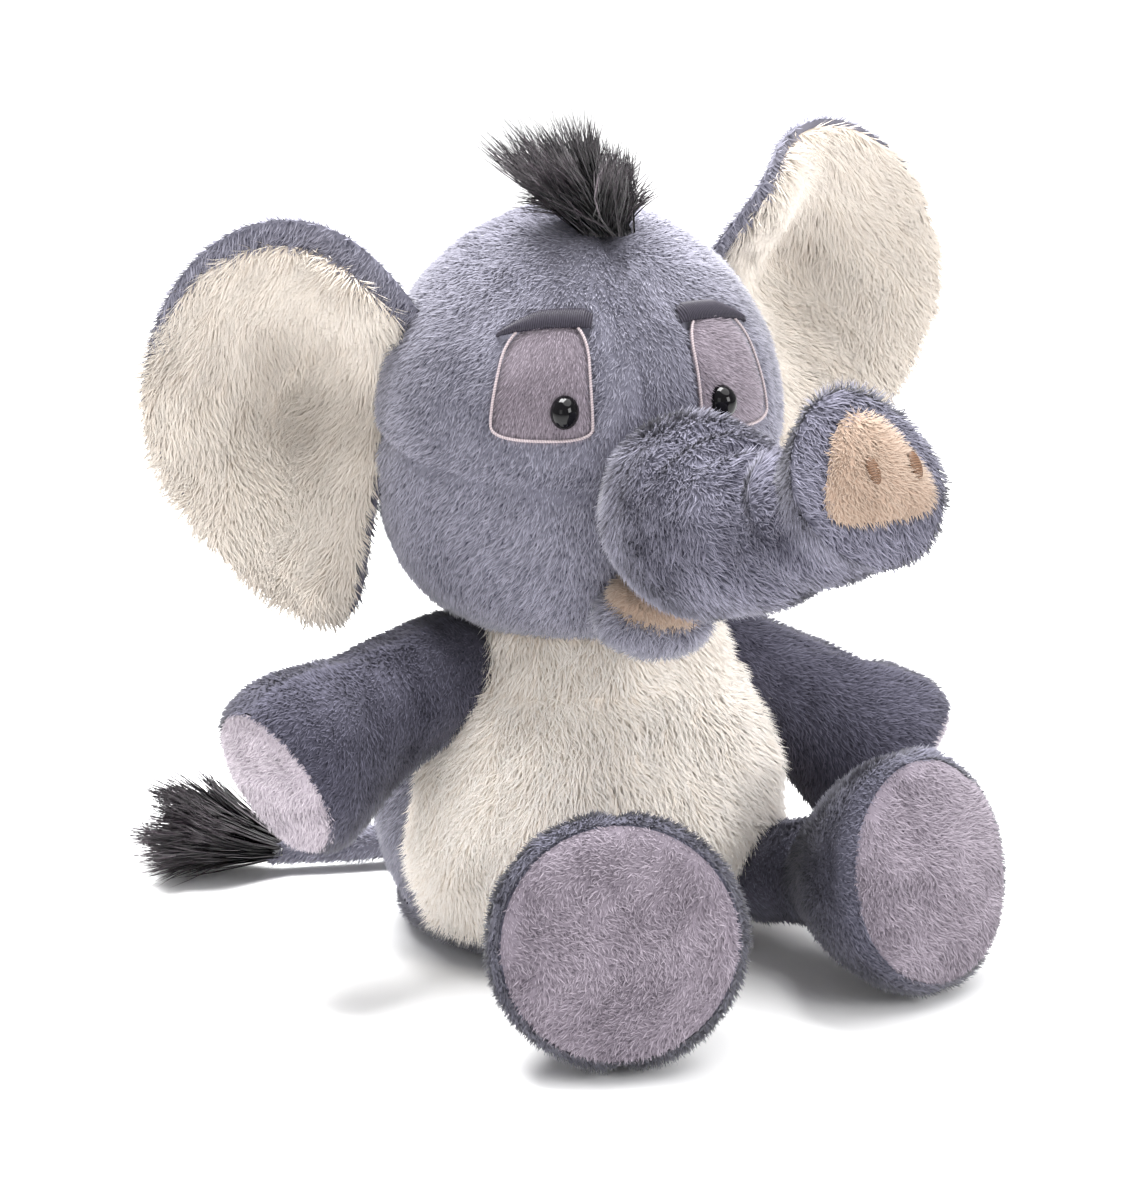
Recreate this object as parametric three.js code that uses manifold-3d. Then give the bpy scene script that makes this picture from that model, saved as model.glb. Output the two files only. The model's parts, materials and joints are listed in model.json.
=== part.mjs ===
// A seated plush elephant, in millimetres, +Z up, facing -Y, so that its left side is +X.
// The origin is the middle of the flat panel that it sits on.
// Every fabric panel is a thin shell with a seam gap to its neighbours, and the stuffing is inside.
// Each limb starts as a ball about its own joint, in a socket a little larger than the ball.

import * as THREE from 'three';
import { mergeVertices } from 'three/addons/utils/BufferGeometryUtils.js';
import Module from 'manifold-3d';

const wasm = await Module();
wasm.setup();

// ---- driving dimensions -------------------------------------------------------------------

const FABRIC = 2.4;          // plush backing and its pile, pressed
const GAP = 0.3;             // between any two pieces that touch
const SEAM = 0.4;            // between two sewn panels
const JOINT_GAP = 1.2;       // between a limb's ball and its socket
const APPLIQUE = 1.2;        // thickness of an embroidered or sewn-on patch

const PELLET_BAG = { centre: [0, -2, 13], radii: [30, 24, 9], mouth: 12, mouthTop: 8 };

const TORSO = {
  outline: [[38, 0], [50, 4], [58, 14], [62.5, 27], [64, 42], [61, 57], [54, 72], [44, 87.3]],
  depth: 0.96,               // front-to-back width over side-to-side width
  footY: -7,                 // middle of the torso at the floor
  neckY: -19,                // middle of the torso at the neck
  bellySeamY: -17,
  seatSeamZ: 9,
};

const HEAD = {
  centre: new THREE.Vector3(0, -19, 160),
  radii: new THREE.Vector3(62, 62, 65),
  yaw: THREE.MathUtils.degToRad(-8),      // the head looks a little to its right
  cheekSeamZ: 156,
  cheekSeamSlope: 0.1,
  cheekFullness: 3,          // below its middle the head is fuller than an ellipsoid
  neckHole: 27,
  neckHoleTop: 124,
};

const COLLAR = { bottomZ: TORSO.outline.at(-1)[1] + GAP, radius: 43, topRadius: 35, topZ: 106, cup: 73.4 };
const NECK_PLUG = { radius: 9, bottomZ: 62, topZ: 118 };

const TRUNK = {
  pivot: new THREE.Vector3(3, -97, 152),
  rootRadii: new THREE.Vector3(25.5, 29, 29),
  route: [[3, -97, 150], [9, -117, 148], [17, -134, 151], [24, -147, 160], [28.5, -156, 171]],
  outline: [[0, 22], [6, 24.6], [16, 25.2], [28, 23.2], [40, 20.4], [50, 20], [58, 22.8], [65, 26.2]],
  tipAzimuth: THREE.MathUtils.degToRad(14),
  tipRise: THREE.MathUtils.degToRad(30),
  tipDome: 7,
};

const EYE = { azimuth: THREE.MathUtils.degToRad(29), rise: THREE.MathUtils.degToRad(21) };
const PATCH = { topHalf: 10.5, bottomHalf: 14.5, bottom: -17, top: 17, round: 7 };
const LID = { inner: -13, outer: 16, base: 17.6, height: 5.2, drop: 5.5 };
const BEAD = { across: -6.5, up: -9.5, radii: [4, 4.8, 4], shank: 1.2, shankLength: 9 };
const WASHER = { radius: 4.2, hole: 1.5, thickness: 1.4, depth: 6.6 };

const EAR = {
  rootLow: [63.7, -11, 150],
  rootHigh: [49.1, -11, 205],
  sweep: THREE.MathUtils.degToRad(14),    // how far the ears lean back
  rootRadius: 4.2,
  grooveRadius: 8.8,
  halfWidth: 38,
  halfHeight: 56.5,
  taper: 0.18,                            // wider above, narrower below
  lean: 30,                               // the lower tip swings back towards the cheek
  cup: 16,
  backThickness: 5,
  frontThickness: 5,
  frontShare: 0.9,                        // the pale front is smaller, so the grey back shows round it
  gap: 0.7,
};
const EAR_CENTRE_A = 34.5;
const EAR_CENTRE_B = { right: -19.5, left: 4 };

const ARM = {
  outline: [[8, 15.4], [25, 17.4], [42, 21.6], [56, 26.2], [66, 27.6], [70, 26]],
  rootRadius: 15.5,
  padStart: 70.3,
  padEdge: [73.5, 20],
  padTop: 75.6,
  narrow: 0.84,
  seat: [43.5, -14.5, 84],
};
const ARM_END = { right: [-110, -42, 66], left: [99, -42, 41] };

const LEG = {
  outline: [[8, 16.6], [18, 18], [30, 24], [43, 32], [54.5, 36.6], [60.5, 37.3], [64, 36]],
  rootRadius: 17,
  padStart: 64.3,
  padEdge: [67.6, 31],
  padTop: 71,
  narrow: 1,
};
const LEG_SEAT = { right: [-24.1, -67.9, 24], left: [42.5, -58, 24] };
const LEG_END = { right: [-50, -136.5, 41.2], left: [62.5, -121, 40.6] };

const TAIL = {
  seat: new THREE.Vector3(-6, 48.5, 13),
  rootRadius: 8.4,
  route: [[-6, 48.5, 13], [-25, 59, 9.5], [-48, 66, 8], [-70, 73, 8.5]],
  outline: [[0, 6.6], [20, 6.6], [45, 6.2], [70, 6]],
  tuftSeat: [-71.5, 73.6, 8.8],
  tuftDirection: [-0.83, 0.52, 0.17],
  tuftOutline: [[0, 5.6], [8, 9.5], [20, 13], [32, 10], [42, 4.5]],
  tuftTip: 47,
  tuftHeight: 0.78,
};

const HAIR = { centre: [-10, -34, 236], radii: [25, 9, 17], lean: THREE.MathUtils.degToRad(16) };
const LIP = { centre: [1, -81, 113], radii: [17, 19, 10.5] };
const MOUTH = { centre: [1, -83, 117.5], radii: [13.4, 15.6, 9] };
const NOSE_PAD = { half: 16.5, low: -12.5, high: 19, round: 6 };
const NOSTRIL = { across: 7, up: 0.5, half: 1.5, tall: 3 };

// ---- colours -------------------------------------------------------------------------------

const finish = (color, roughness = 0.95, metalness = 0) =>
  new THREE.MeshStandardMaterial({ color, roughness, metalness });
const GREY_PLUSH = finish(0x7b7d95);
const CREAM_PLUSH = finish(0xece5dc);
const LILAC_PLUSH = finish(0xafa3b3);
const PEACH_PLUSH = finish(0xe8cdb0);
const DARK_PILE = finish(0x3a3038);
const LILAC_THREAD = finish(0xb3a7b8, 0.7);
const PLUM_THREAD = finish(0x4c4552, 0.7);
const BROWN_THREAD = finish(0x7a5a42, 0.7);
const BLACK_GLOSS = finish(0x060607, 0.08);
const WHITE_PLASTIC = finish(0xe4e4e0, 0.45);
const STUFFING = finish(0xf4f3ef);
const PELLETS = finish(0xd9d4c6, 0.8);

// ---- solids --------------------------------------------------------------------------------

const point = ([x, y, z]) => new THREE.Vector3(x, y, z);

// A closed geometry as a solid: equal corners become one, and flat triangles go.
function solid(geometry) {
  const bare = geometry.index ? geometry.toNonIndexed() : geometry.clone();
  bare.deleteAttribute('normal');
  bare.deleteAttribute('uv');
  const merged = mergeVertices(bare, 1e-3);
  const index = merged.index.array;
  const triangles = [];
  for (let i = 0; i < index.length; i += 3) {
    const [a, b, c] = [index[i], index[i + 1], index[i + 2]];
    if (a !== b && b !== c && c !== a) triangles.push(a, b, c);
  }
  const vertProperties = Float32Array.from(merged.attributes.position.array);
  const build = (list) =>
    new wasm.Manifold(new wasm.Mesh({ numProp: 3, vertProperties, triVerts: Uint32Array.from(list) }));
  const body = build(triangles);
  if (body.volume() > 0) return body;
  const flipped = [];
  for (let i = 0; i < triangles.length; i += 3) {
    flipped.push(triangles[i], triangles[i + 2], triangles[i + 1]);
  }
  return build(flipped);
}

// Moves every corner of a geometry by a rule.
function warp(geometry, rule) {
  const position = geometry.attributes.position;
  const corner = new THREE.Vector3();
  for (let i = 0; i < position.count; i += 1) {
    corner.fromBufferAttribute(position, i);
    rule(corner);
    position.setXYZ(i, corner.x, corner.y, corner.z);
  }
  return geometry;
}

// A smooth outline through [along, radius] pairs.
function smooth(pairs, steps) {
  const curve = new THREE.SplineCurve(pairs.map(([along, radius]) => new THREE.Vector2(radius, along)));
  return curve.getPoints(steps);
}

// An ellipsoid about a centre.
function ellipsoid(centre, [rx, ry, rz], around = 14, rings = 8) {
  const ball = new THREE.SphereGeometry(1, around, rings).rotateX(Math.PI / 2);
  return solid(ball.scale(rx, ry, rz).translate(...centre));
}

// Axes for a piece along a direction: its local Y is the direction and its local X is level.
function axesAlong(direction, origin) {
  const along = direction.clone().normalize();
  const level = new THREE.Vector3().crossVectors(along, new THREE.Vector3(0, 0, 1)).normalize();
  const third = new THREE.Vector3().crossVectors(level, along);
  return new THREE.Matrix4().makeBasis(level, along, third).setPosition(origin);
}

// Everything on one side of a plane, on the side that the normal points to.
function side(origin, normal, shift = 0) {
  const size = 700;
  const box = new THREE.BoxGeometry(size, size, size);
  const turn = new THREE.Quaternion().setFromUnitVectors(
    new THREE.Vector3(0, 0, 1), normal.clone().normalize());
  const middle = normal.clone().normalize().multiplyScalar(size / 2 + shift).add(origin);
  return solid(box.applyQuaternion(turn).translate(middle.x, middle.y, middle.z));
}

// The two parts of a shape either side of a plane, with a seam between them.
function seam(shape, origin, normal) {
  const front = side(origin, normal, SEAM / 2);
  const back = side(origin, normal.clone().negate(), SEAM / 2);
  return [shape.intersect(front), shape.intersect(back)];
}

// A straight prism of a flat outline, whose local Z is the given direction.
function prism(shape, origin, out, up, from, to) {
  const bar = new THREE.ExtrudeGeometry(shape, { depth: to - from, bevelEnabled: false, curveSegments: 4 });
  const across = new THREE.Vector3().crossVectors(up, out).normalize();
  const rise = new THREE.Vector3().crossVectors(out, across).normalize();
  bar.translate(0, 0, from);
  return solid(bar.applyMatrix4(new THREE.Matrix4().makeBasis(across, rise, out).setPosition(origin)));
}

// A round bar along a direction.
function bar(origin, direction, radius, from, to, around = 10) {
  const cylinder = new THREE.CylinderGeometry(radius, radius, to - from, around);
  cylinder.translate(0, (from + to) / 2, 0);
  return solid(cylinder.applyMatrix4(axesAlong(direction, origin)));
}

// The largest part of a cut shape: the small offcuts beside a socket are thrown away.
function largest(body) {
  return body.decompose().reduce((best, part) => (part.volume() > best.volume() ? part : best));
}

// A solid as a mesh of the scene, named for its sub-part.
function mesh(name, body, material) {
  const { vertProperties, triVerts } = largest(body).getMesh();
  const geometry = new THREE.BufferGeometry();
  geometry.setAttribute('position', new THREE.BufferAttribute(Float32Array.from(vertProperties), 3));
  geometry.setIndex(new THREE.BufferAttribute(Uint32Array.from(triVerts), 1));
  geometry.computeVertexNormals();
  const made = new THREE.Mesh(geometry, material);
  made.name = name;
  return made;
}

// ---- torso ---------------------------------------------------------------------------------

// An upright bar on the line that the head turns about.
function uprightBar(radius, from, to) {
  const cylinder = new THREE.CylinderGeometry(radius, radius, to - from, 14).rotateX(Math.PI / 2);
  return solid(cylinder.translate(HEAD.centre.x, HEAD.centre.y, (from + to) / 2));
}

const torsoTop = TORSO.outline.at(-1)[1];

function torsoMiddleY(z) {
  const rise = Math.max(0, z) / torsoTop;
  return TORSO.footY + (TORSO.neckY - TORSO.footY) * rise ** 1.3;
}

function torsoSolid(inset) {
  const rows = TORSO.outline.map(([radius, z]) =>
    new THREE.Vector2(radius - inset, Math.min(torsoTop - inset, Math.max(inset, z))));
  const axisLow = new THREE.Vector2(0, inset);
  const axisHigh = new THREE.Vector2(0, torsoTop - inset);
  const lathe = new THREE.LatheGeometry([axisLow, ...rows, axisHigh], 18).rotateX(Math.PI / 2);
  return solid(warp(lathe, (p) => p.set(p.x, p.y * TORSO.depth + torsoMiddleY(p.z), p.z)));
}

function ballAt(pivot, radius, around = 12, rings = 8) {
  return ellipsoid(pivot, [radius, radius, radius], around, rings);
}

const mirrored = ([x, y, z], sign) => [sign * x, y, z];
const sockets = [
  ...[1, -1].map((sign) => ballAt(mirrored(ARM.seat, sign), ARM.rootRadius + JOINT_GAP)),
  ...Object.values(LEG_SEAT).map((seat) => ballAt(seat, LEG.rootRadius + JOINT_GAP)),
  ballAt(TAIL.seat.toArray(), TAIL.rootRadius + JOINT_GAP),
];
const withoutSockets = (body) => sockets.reduce((rest, socket) => rest.subtract(socket), body);

// The torso where both arms press into its sides.
function dentedTorso(inset) {
  return [1, -1].reduce((rest, sign) => {
    const end = sign > 0 ? ARM_END.left : ARM_END.right;
    const arm = limbSolid(ARM, point(mirrored(ARM.seat, sign)), point(end), -inset - SEAM);
    return rest.subtract(arm);
  }, torsoSolid(inset));
}

function torsoMeshes() {
  const skin = dentedTorso(0).subtract(dentedTorso(FABRIC));
  const [above, seat] = seam(skin, new THREE.Vector3(0, 0, TORSO.seatSeamZ), new THREE.Vector3(0, 0, 1));
  const [back, belly] = seam(above, new THREE.Vector3(0, TORSO.bellySeamY, 0), new THREE.Vector3(0, 1, 0));
  const [backLeft, backRight] = seam(back, new THREE.Vector3(), new THREE.Vector3(1, 0, 0));
  const neckPocket = uprightBar(NECK_PLUG.radius + JOINT_GAP, NECK_PLUG.bottomZ - 1, torsoTop + 5);
  const filling = withoutSockets(dentedTorso(FABRIC + GAP)).subtract(neckPocket);
  const { centre, radii, mouth, mouthTop } = PELLET_BAG;
  const pelletBag = ellipsoid(centre, radii, 12, 6);
  const below = new THREE.CylinderGeometry(mouth, mouth, mouthTop, 10).rotateX(Math.PI / 2);
  const pelletMouth = solid(below.translate(centre[0], centre[1], mouthTop / 2));
  const pelletPocket = ellipsoid(centre, radii.map((r) => r + GAP), 12, 6).add(pelletMouth);
  return [
    mesh('body_back_left', withoutSockets(backLeft).subtract(neckPocket), GREY_PLUSH),
    mesh('body_back_right', withoutSockets(backRight).subtract(neckPocket), GREY_PLUSH),
    mesh('belly_panel', withoutSockets(belly).subtract(neckPocket), CREAM_PLUSH),
    mesh('seat_panel', withoutSockets(seat), GREY_PLUSH),
    mesh('body_stuffing', filling.subtract(pelletPocket), STUFFING),
    mesh('pellet_bag', pelletBag, PELLETS),
  ];
}

// The collar under the chin: flat below, on the torso, with a cup above that the head rolls in.
function collarMesh() {
  const outline = [
    new THREE.Vector2(0, COLLAR.bottomZ),
    new THREE.Vector2(COLLAR.radius, COLLAR.bottomZ),
    new THREE.Vector2(COLLAR.topRadius, COLLAR.topZ),
    new THREE.Vector2(0, COLLAR.topZ),
  ];
  const block = new THREE.LatheGeometry(outline, 18).rotateX(Math.PI / 2).translate(0, TORSO.neckY, 0);
  const cup = ballAt(HEAD.centre.toArray(), COLLAR.cup, 20, 12);
  const shoulders = [1, -1].map((sign) => ballAt(mirrored(ARM.seat, sign), ARM.rootRadius + JOINT_GAP));
  const hole = uprightBar(NECK_PLUG.radius + JOINT_GAP, COLLAR.bottomZ - 1, COLLAR.topZ);
  const cuts = [cup, hole, ...shoulders];
  const ring = cuts.reduce((rest, cut) => rest.subtract(cut), solid(block));
  return mesh('neck_collar', ring, GREY_PLUSH);
}

// A plug of firm stuffing through the neck: it turns with the head, which nods on it.
function neckPlugMesh() {
  return mesh('neck_plug', uprightBar(NECK_PLUG.radius, NECK_PLUG.bottomZ, NECK_PLUG.topZ), STUFFING);
}

// ---- limbs ---------------------------------------------------------------------------------

// A limb about its own axis: a ball at the joint, a flaring tube, and a shallow dome at the end.
function limbSolid(limb, pivot, end, inset) {
  const ball = [];
  const arcSteps = 3;
  for (let i = 0; i < arcSteps; i += 1) {
    const angle = (i / arcSteps) * (Math.PI / 2);
    const radius = limb.rootRadius - inset;
    ball.push(new THREE.Vector2(radius * Math.sin(angle), -radius * Math.cos(angle)));
  }
  const tube = smooth(limb.outline, 5).map((p) => new THREE.Vector2(p.x - inset, p.y));
  const edge = new THREE.Vector2(limb.padEdge[1] - inset, limb.padEdge[0] - inset);
  const tip = new THREE.Vector2(0, limb.padTop - inset);
  const lathe = new THREE.LatheGeometry([...ball, ...tube, edge, tip], 11);
  const flareFrom = limb.rootRadius;
  const flareTo = limb.padStart - flareFrom;
  warp(lathe, (p) => {
    const share = THREE.MathUtils.clamp((p.y - flareFrom) / flareTo, 0, 1);
    p.x *= 1 + (limb.narrow - 1) * share;
  });
  const direction = new THREE.Vector3().subVectors(end, pivot);
  return solid(lathe.applyMatrix4(axesAlong(direction, pivot)));
}

// A limb's pieces: two skin halves, the pad on its end, and its stuffing.
function limbMeshes(name, limb, pivotAt, endAt, padName) {
  const pivot = point(pivotAt);
  const end = point(endAt);
  const along = new THREE.Vector3().subVectors(end, pivot).normalize();
  const padPlane = along.clone().multiplyScalar(limb.padStart).add(pivot);
  const skin = limbSolid(limb, pivot, end, 0).subtract(limbSolid(limb, pivot, end, FABRIC));
  const [pad, tube] = seam(skin, padPlane, along);
  const level = new THREE.Vector3().crossVectors(along, new THREE.Vector3(0, 0, 1)).normalize();
  const [outer, inner] = seam(tube, pivot, level);
  return [
    mesh(`${name}_skin_a`, outer, GREY_PLUSH),
    mesh(`${name}_skin_b`, inner, GREY_PLUSH),
    mesh(padName, pad, LILAC_PLUSH),
    mesh(`${name}_stuffing`, limbSolid(limb, pivot, end, FABRIC + GAP), STUFFING),
  ];
}

// ---- head, in its own group, which is turned about the neck ---------------------------------

function headSolid(inset) {
  const { x, y, z } = HEAD.radii;
  const ball = new THREE.SphereGeometry(1, 20, 12).rotateX(Math.PI / 2);
  warp(ball, (p) => {
    const depth = Math.min(1, -p.z);
    if (depth <= 0 || depth > 0.999) return;
    const fuller = (1 - depth ** HEAD.cheekFullness) ** (1 / HEAD.cheekFullness);
    const wider = fuller / Math.sqrt(1 - depth * depth);
    p.x *= wider;
    p.y *= wider;
  });
  return solid(ball.scale(x - inset, y - inset, z - inset).translate(...HEAD.centre.toArray()));
}

// The trunk's centre line, with the level and upright directions across it.
const trunkCurve = new THREE.CatmullRomCurve3(TRUNK.route.map(point), false, 'centripetal');
const trunkLength = trunkCurve.getLength();
const tipDirection = new THREE.Vector3(
  Math.sin(TRUNK.tipAzimuth) * Math.cos(TRUNK.tipRise),
  -Math.cos(TRUNK.tipAzimuth) * Math.cos(TRUNK.tipRise),
  Math.sin(TRUNK.tipRise));

function trunkFrame(s) {
  const share = THREE.MathUtils.clamp(s / trunkLength, 0, 1);
  const centre = trunkCurve.getPointAt(share);
  const along = trunkCurve.getTangentAt(share);
  along.lerp(tipDirection, share ** 3).normalize();
  centre.addScaledVector(along, s - share * trunkLength);
  return axesAlong(along, centre);
}

// The trunk is a round tube bent along its centre line, with a ball about its joint at the root.
function trunkSolid(inset) {
  const { x, y, z } = TRUNK.rootRadii;
  const root = ellipsoid(TRUNK.pivot.toArray(), [x - inset, y - inset, z - inset], 16, 10);
  const stretch = trunkLength / TRUNK.outline.at(-1)[0];
  const tube = smooth(TRUNK.outline, 6).map((p) => new THREE.Vector2(p.x - inset, p.y * stretch));
  const rim = TRUNK.outline.at(-1)[1];
  const dome = [[0.84, 0.52], [0.48, 0.88], [0, 1]].map(([radius, height]) =>
    new THREE.Vector2((rim - inset) * radius, trunkLength + (TRUNK.tipDome - inset) * height));
  const lathe = new THREE.LatheGeometry([new THREE.Vector2(0, 0), ...tube, ...dome], 12);
  warp(lathe, (p) => {
    const frame = trunkFrame(p.y);
    p.set(p.x, 0, p.z).applyMatrix4(frame);
  });
  return root.add(solid(lathe));
}

// A rounded triangle, upright, for the pad on the trunk's tip.
function nosePadOutline() {
  const { half, low, high, round } = NOSE_PAD;
  const shape = new THREE.Shape();
  shape.moveTo(-half + round, low);
  shape.lineTo(half - round, low);
  shape.quadraticCurveTo(half + 2, low + 1, half, low + round + 2);
  shape.lineTo(round, high - round);
  shape.quadraticCurveTo(0, high + 1, -round, high - round);
  shape.lineTo(-half, low + round + 2);
  shape.quadraticCurveTo(-half - 2, low + 1, -half + round, low);
  return shape;
}

function ovalOutline(x, y, halfWidth, halfHeight) {
  const shape = new THREE.Shape();
  shape.absellipse(x, y, halfWidth, halfHeight, 0, Math.PI * 2);
  return shape;
}

function trunkMeshes() {
  const skin = trunkSolid(0).subtract(trunkSolid(FABRIC));
  const [from, to] = [TRUNK.route[0], TRUNK.route.at(-1)].map(point);
  const across = new THREE.Vector3(to.y - from.y, from.x - to.x, 0).negate().normalize();
  const [left, right] = seam(skin, TRUNK.pivot, across);
  const tip = to;
  const up = new THREE.Vector3(0, 0, 1);
  const padBar = prism(nosePadOutline(), tip, tipDirection, up, -14, 20);
  const pad = trunkSolid(-GAP - APPLIQUE).subtract(trunkSolid(-GAP)).intersect(padBar);
  const nostrils = [1, -1].map((sign) => {
    const outline = ovalOutline(sign * NOSTRIL.across, NOSTRIL.up, NOSTRIL.half, NOSTRIL.tall);
    const stitches = trunkSolid(-2 * GAP - APPLIQUE - 0.6).subtract(trunkSolid(-2 * GAP - APPLIQUE));
    const name = sign > 0 ? 'nostril_left' : 'nostril_right';
    return mesh(name, stitches.intersect(prism(outline, tip, tipDirection, up, 0, 20)), BROWN_THREAD);
  });
  return [
    mesh('trunk_skin_left', left, GREY_PLUSH),
    mesh('trunk_skin_right', right, GREY_PLUSH),
    mesh('trunk_stuffing', trunkSolid(FABRIC + GAP), STUFFING),
    mesh('nose_pad', pad, PEACH_PLUSH),
    ...nostrils,
  ];
}

// Room in the head for the trunk's root to turn in, and for each ear's root.
function trunkSocket(room) {
  const { x, y, z } = TRUNK.rootRadii;
  return ellipsoid(TRUNK.pivot.toArray(), [x + room, y + room, z + room], 16, 10);
}

// ---- ears ----------------------------------------------------------------------------------

// An ear's own axes: A outwards from the head, B up along its root, N towards its pale front.
function earFrame(sign) {
  const low = point(mirrored(EAR.rootLow, sign));
  const high = point(mirrored(EAR.rootHigh, sign));
  const b = new THREE.Vector3().subVectors(high, low);
  const half = b.length() / 2;
  b.normalize();
  const outward = new THREE.Vector3(sign, 0, 0);
  outward.addScaledVector(b, -outward.dot(b)).normalize();
  outward.applyAxisAngle(b, sign * EAR.sweep);
  const n = new THREE.Vector3().crossVectors(outward, b).multiplyScalar(sign);
  return { a: outward, b, n, centre: low.add(high).multiplyScalar(0.5), half };
}

// A cupped pillow: a ball pressed onto the ear's outline, flat side towards its other half.
function earPillow(sign, share, thickness, facing) {
  const { a, b, n, centre } = earFrame(sign);

  const middleB = sign > 0 ? EAR_CENTRE_B.left : EAR_CENTRE_B.right;
  const ball = new THREE.SphereGeometry(1, 18, 6);
  warp(ball, (p) => {
    const reach = Math.min(1, Math.hypot(p.x, p.z));
    const cosine = reach > 1e-6 ? p.x / reach : 1;
    const sine = reach > 1e-6 ? p.z / reach : 0;
    const rho = reach * share;
    const swing = sine < 0 ? EAR.lean * sine * sine : 0;
    const alongA = EAR_CENTRE_A + rho * (EAR.halfWidth * cosine * (1 + EAR.taper * sine) - swing);
    const alongB = middleB + rho * EAR.halfHeight * sine;
    const cup = EAR.cup * (rho * rho - 1);
    const outside = facing * p.y > 0 ? Math.abs(p.y) * thickness : 0;
    const depth = cup + facing * (EAR.gap / 2 + outside);
    p.copy(centre).addScaledVector(a, alongA).addScaledVector(b, alongB).addScaledVector(n, depth);
  });
  return solid(ball);
}

function earRoot(sign, radius, extra) {
  const { b, centre, half } = earFrame(sign);
  return bar(centre, b, radius, -half - extra, half + extra);
}

function earMeshes(sign) {
  const name = sign > 0 ? 'left' : 'right';
  const back = earPillow(sign, 1, EAR.backThickness, -1);
  const front = earPillow(sign, EAR.frontShare, EAR.frontThickness, 1);
  const root = earRoot(sign, EAR.rootRadius, 0);
  return [
    mesh(`ear_back_${name}`, back.add(root).subtract(front), GREY_PLUSH),
    mesh(`ear_front_${name}`, front.subtract(earRoot(sign, EAR.rootRadius + GAP, 1)), CREAM_PLUSH),
  ];
}

// ---- eyes ----------------------------------------------------------------------------------

function eyeAxes(sign) {
  const out = new THREE.Vector3(
    sign * Math.sin(EYE.azimuth) * Math.cos(EYE.rise),
    -Math.cos(EYE.azimuth) * Math.cos(EYE.rise),
    Math.sin(EYE.rise));
  const level = new THREE.Vector3().crossVectors(new THREE.Vector3(0, 0, 1), out).normalize();
  const across = level.multiplyScalar(sign);
  const up = new THREE.Vector3().crossVectors(out, across).multiplyScalar(sign).normalize();
  return { out, across, up };
}

// Outlines are drawn with the outer side towards +X, and turned over for the right eye.
function patchOutline(sign) {
  const { topHalf, bottomHalf, bottom, top, round } = PATCH;
  const x = (value) => sign * value;
  const shape = new THREE.Shape();
  shape.moveTo(x(-topHalf), top);
  shape.lineTo(x(-bottomHalf), bottom + round);
  shape.quadraticCurveTo(x(-bottomHalf), bottom, x(-bottomHalf + round), bottom);
  shape.lineTo(x(bottomHalf - round), bottom - 0.5);
  shape.quadraticCurveTo(x(bottomHalf), bottom, x(bottomHalf), bottom + round);
  shape.lineTo(x(topHalf), top - 3);
  return shape;
}

function lidOutline(sign) {
  const { inner, outer, base, height, drop } = LID;
  const x = (value) => sign * value;
  const middle = (inner + outer) / 2;
  const shape = new THREE.Shape();
  shape.moveTo(x(inner), base);
  shape.quadraticCurveTo(x(middle), base + 1.5, x(outer), base - drop);
  shape.lineTo(x(outer - 0.6), base - drop + 2.6);
  shape.quadraticCurveTo(x(middle), base + height + 2, x(inner), base + height);
  return shape;
}

// A patch lies on the head like a label: a layer just outside the skin, cut to an outline.
function headLayer(outline, sign, thickness) {
  const { out } = eyeAxes(sign);
  const layer = headSolid(-GAP - thickness).subtract(headSolid(-GAP));
  const up = new THREE.Vector3(0, 0, 1);
  return layer.intersect(prism(outline, HEAD.centre, out, up, 20, 90));
}

function eyePieces(sign) {
  const name = sign > 0 ? 'left' : 'right';
  const { out, across, up } = eyeAxes(sign);
  const seat = HEAD.centre.clone().addScaledVector(across, BEAD.across).addScaledVector(up, BEAD.up);
  const { x: headRadius } = HEAD.radii;
  const rise = Math.sqrt(headRadius ** 2 - BEAD.across ** 2 - BEAD.up ** 2);
  const surface = seat.clone().addScaledVector(out, rise + APPLIQUE + 2 * GAP + 0.2);
  const bead = ellipsoid([0, 0, 0], BEAD.radii, 10, 6);
  const turn = new THREE.Matrix4().makeBasis(across.clone().multiplyScalar(sign), up, out)
    .setPosition(surface);
  const placed = bead.transform(turn.elements).intersect(side(surface, out));
  const shank = bar(surface, out, BEAD.shank, -BEAD.shankLength, 1, 8);
  const hole = bar(surface, out, BEAD.shank + GAP, -BEAD.shankLength - 3, 6, 8);
  const washerFrom = -WASHER.depth;
  const washer = bar(surface, out, WASHER.radius, washerFrom - WASHER.thickness, washerFrom, 12)
    .subtract(bar(surface, out, WASHER.hole + 0.1, washerFrom - 4, washerFrom + 4, 8));
  const pocket = bar(surface, out, WASHER.radius + 1, -BEAD.shankLength - 2, 6, 12);
  return { name, bead: placed.add(shank), hole, washer, pocket };
}

// ---- the head's pieces ----------------------------------------------------------------------

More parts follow.
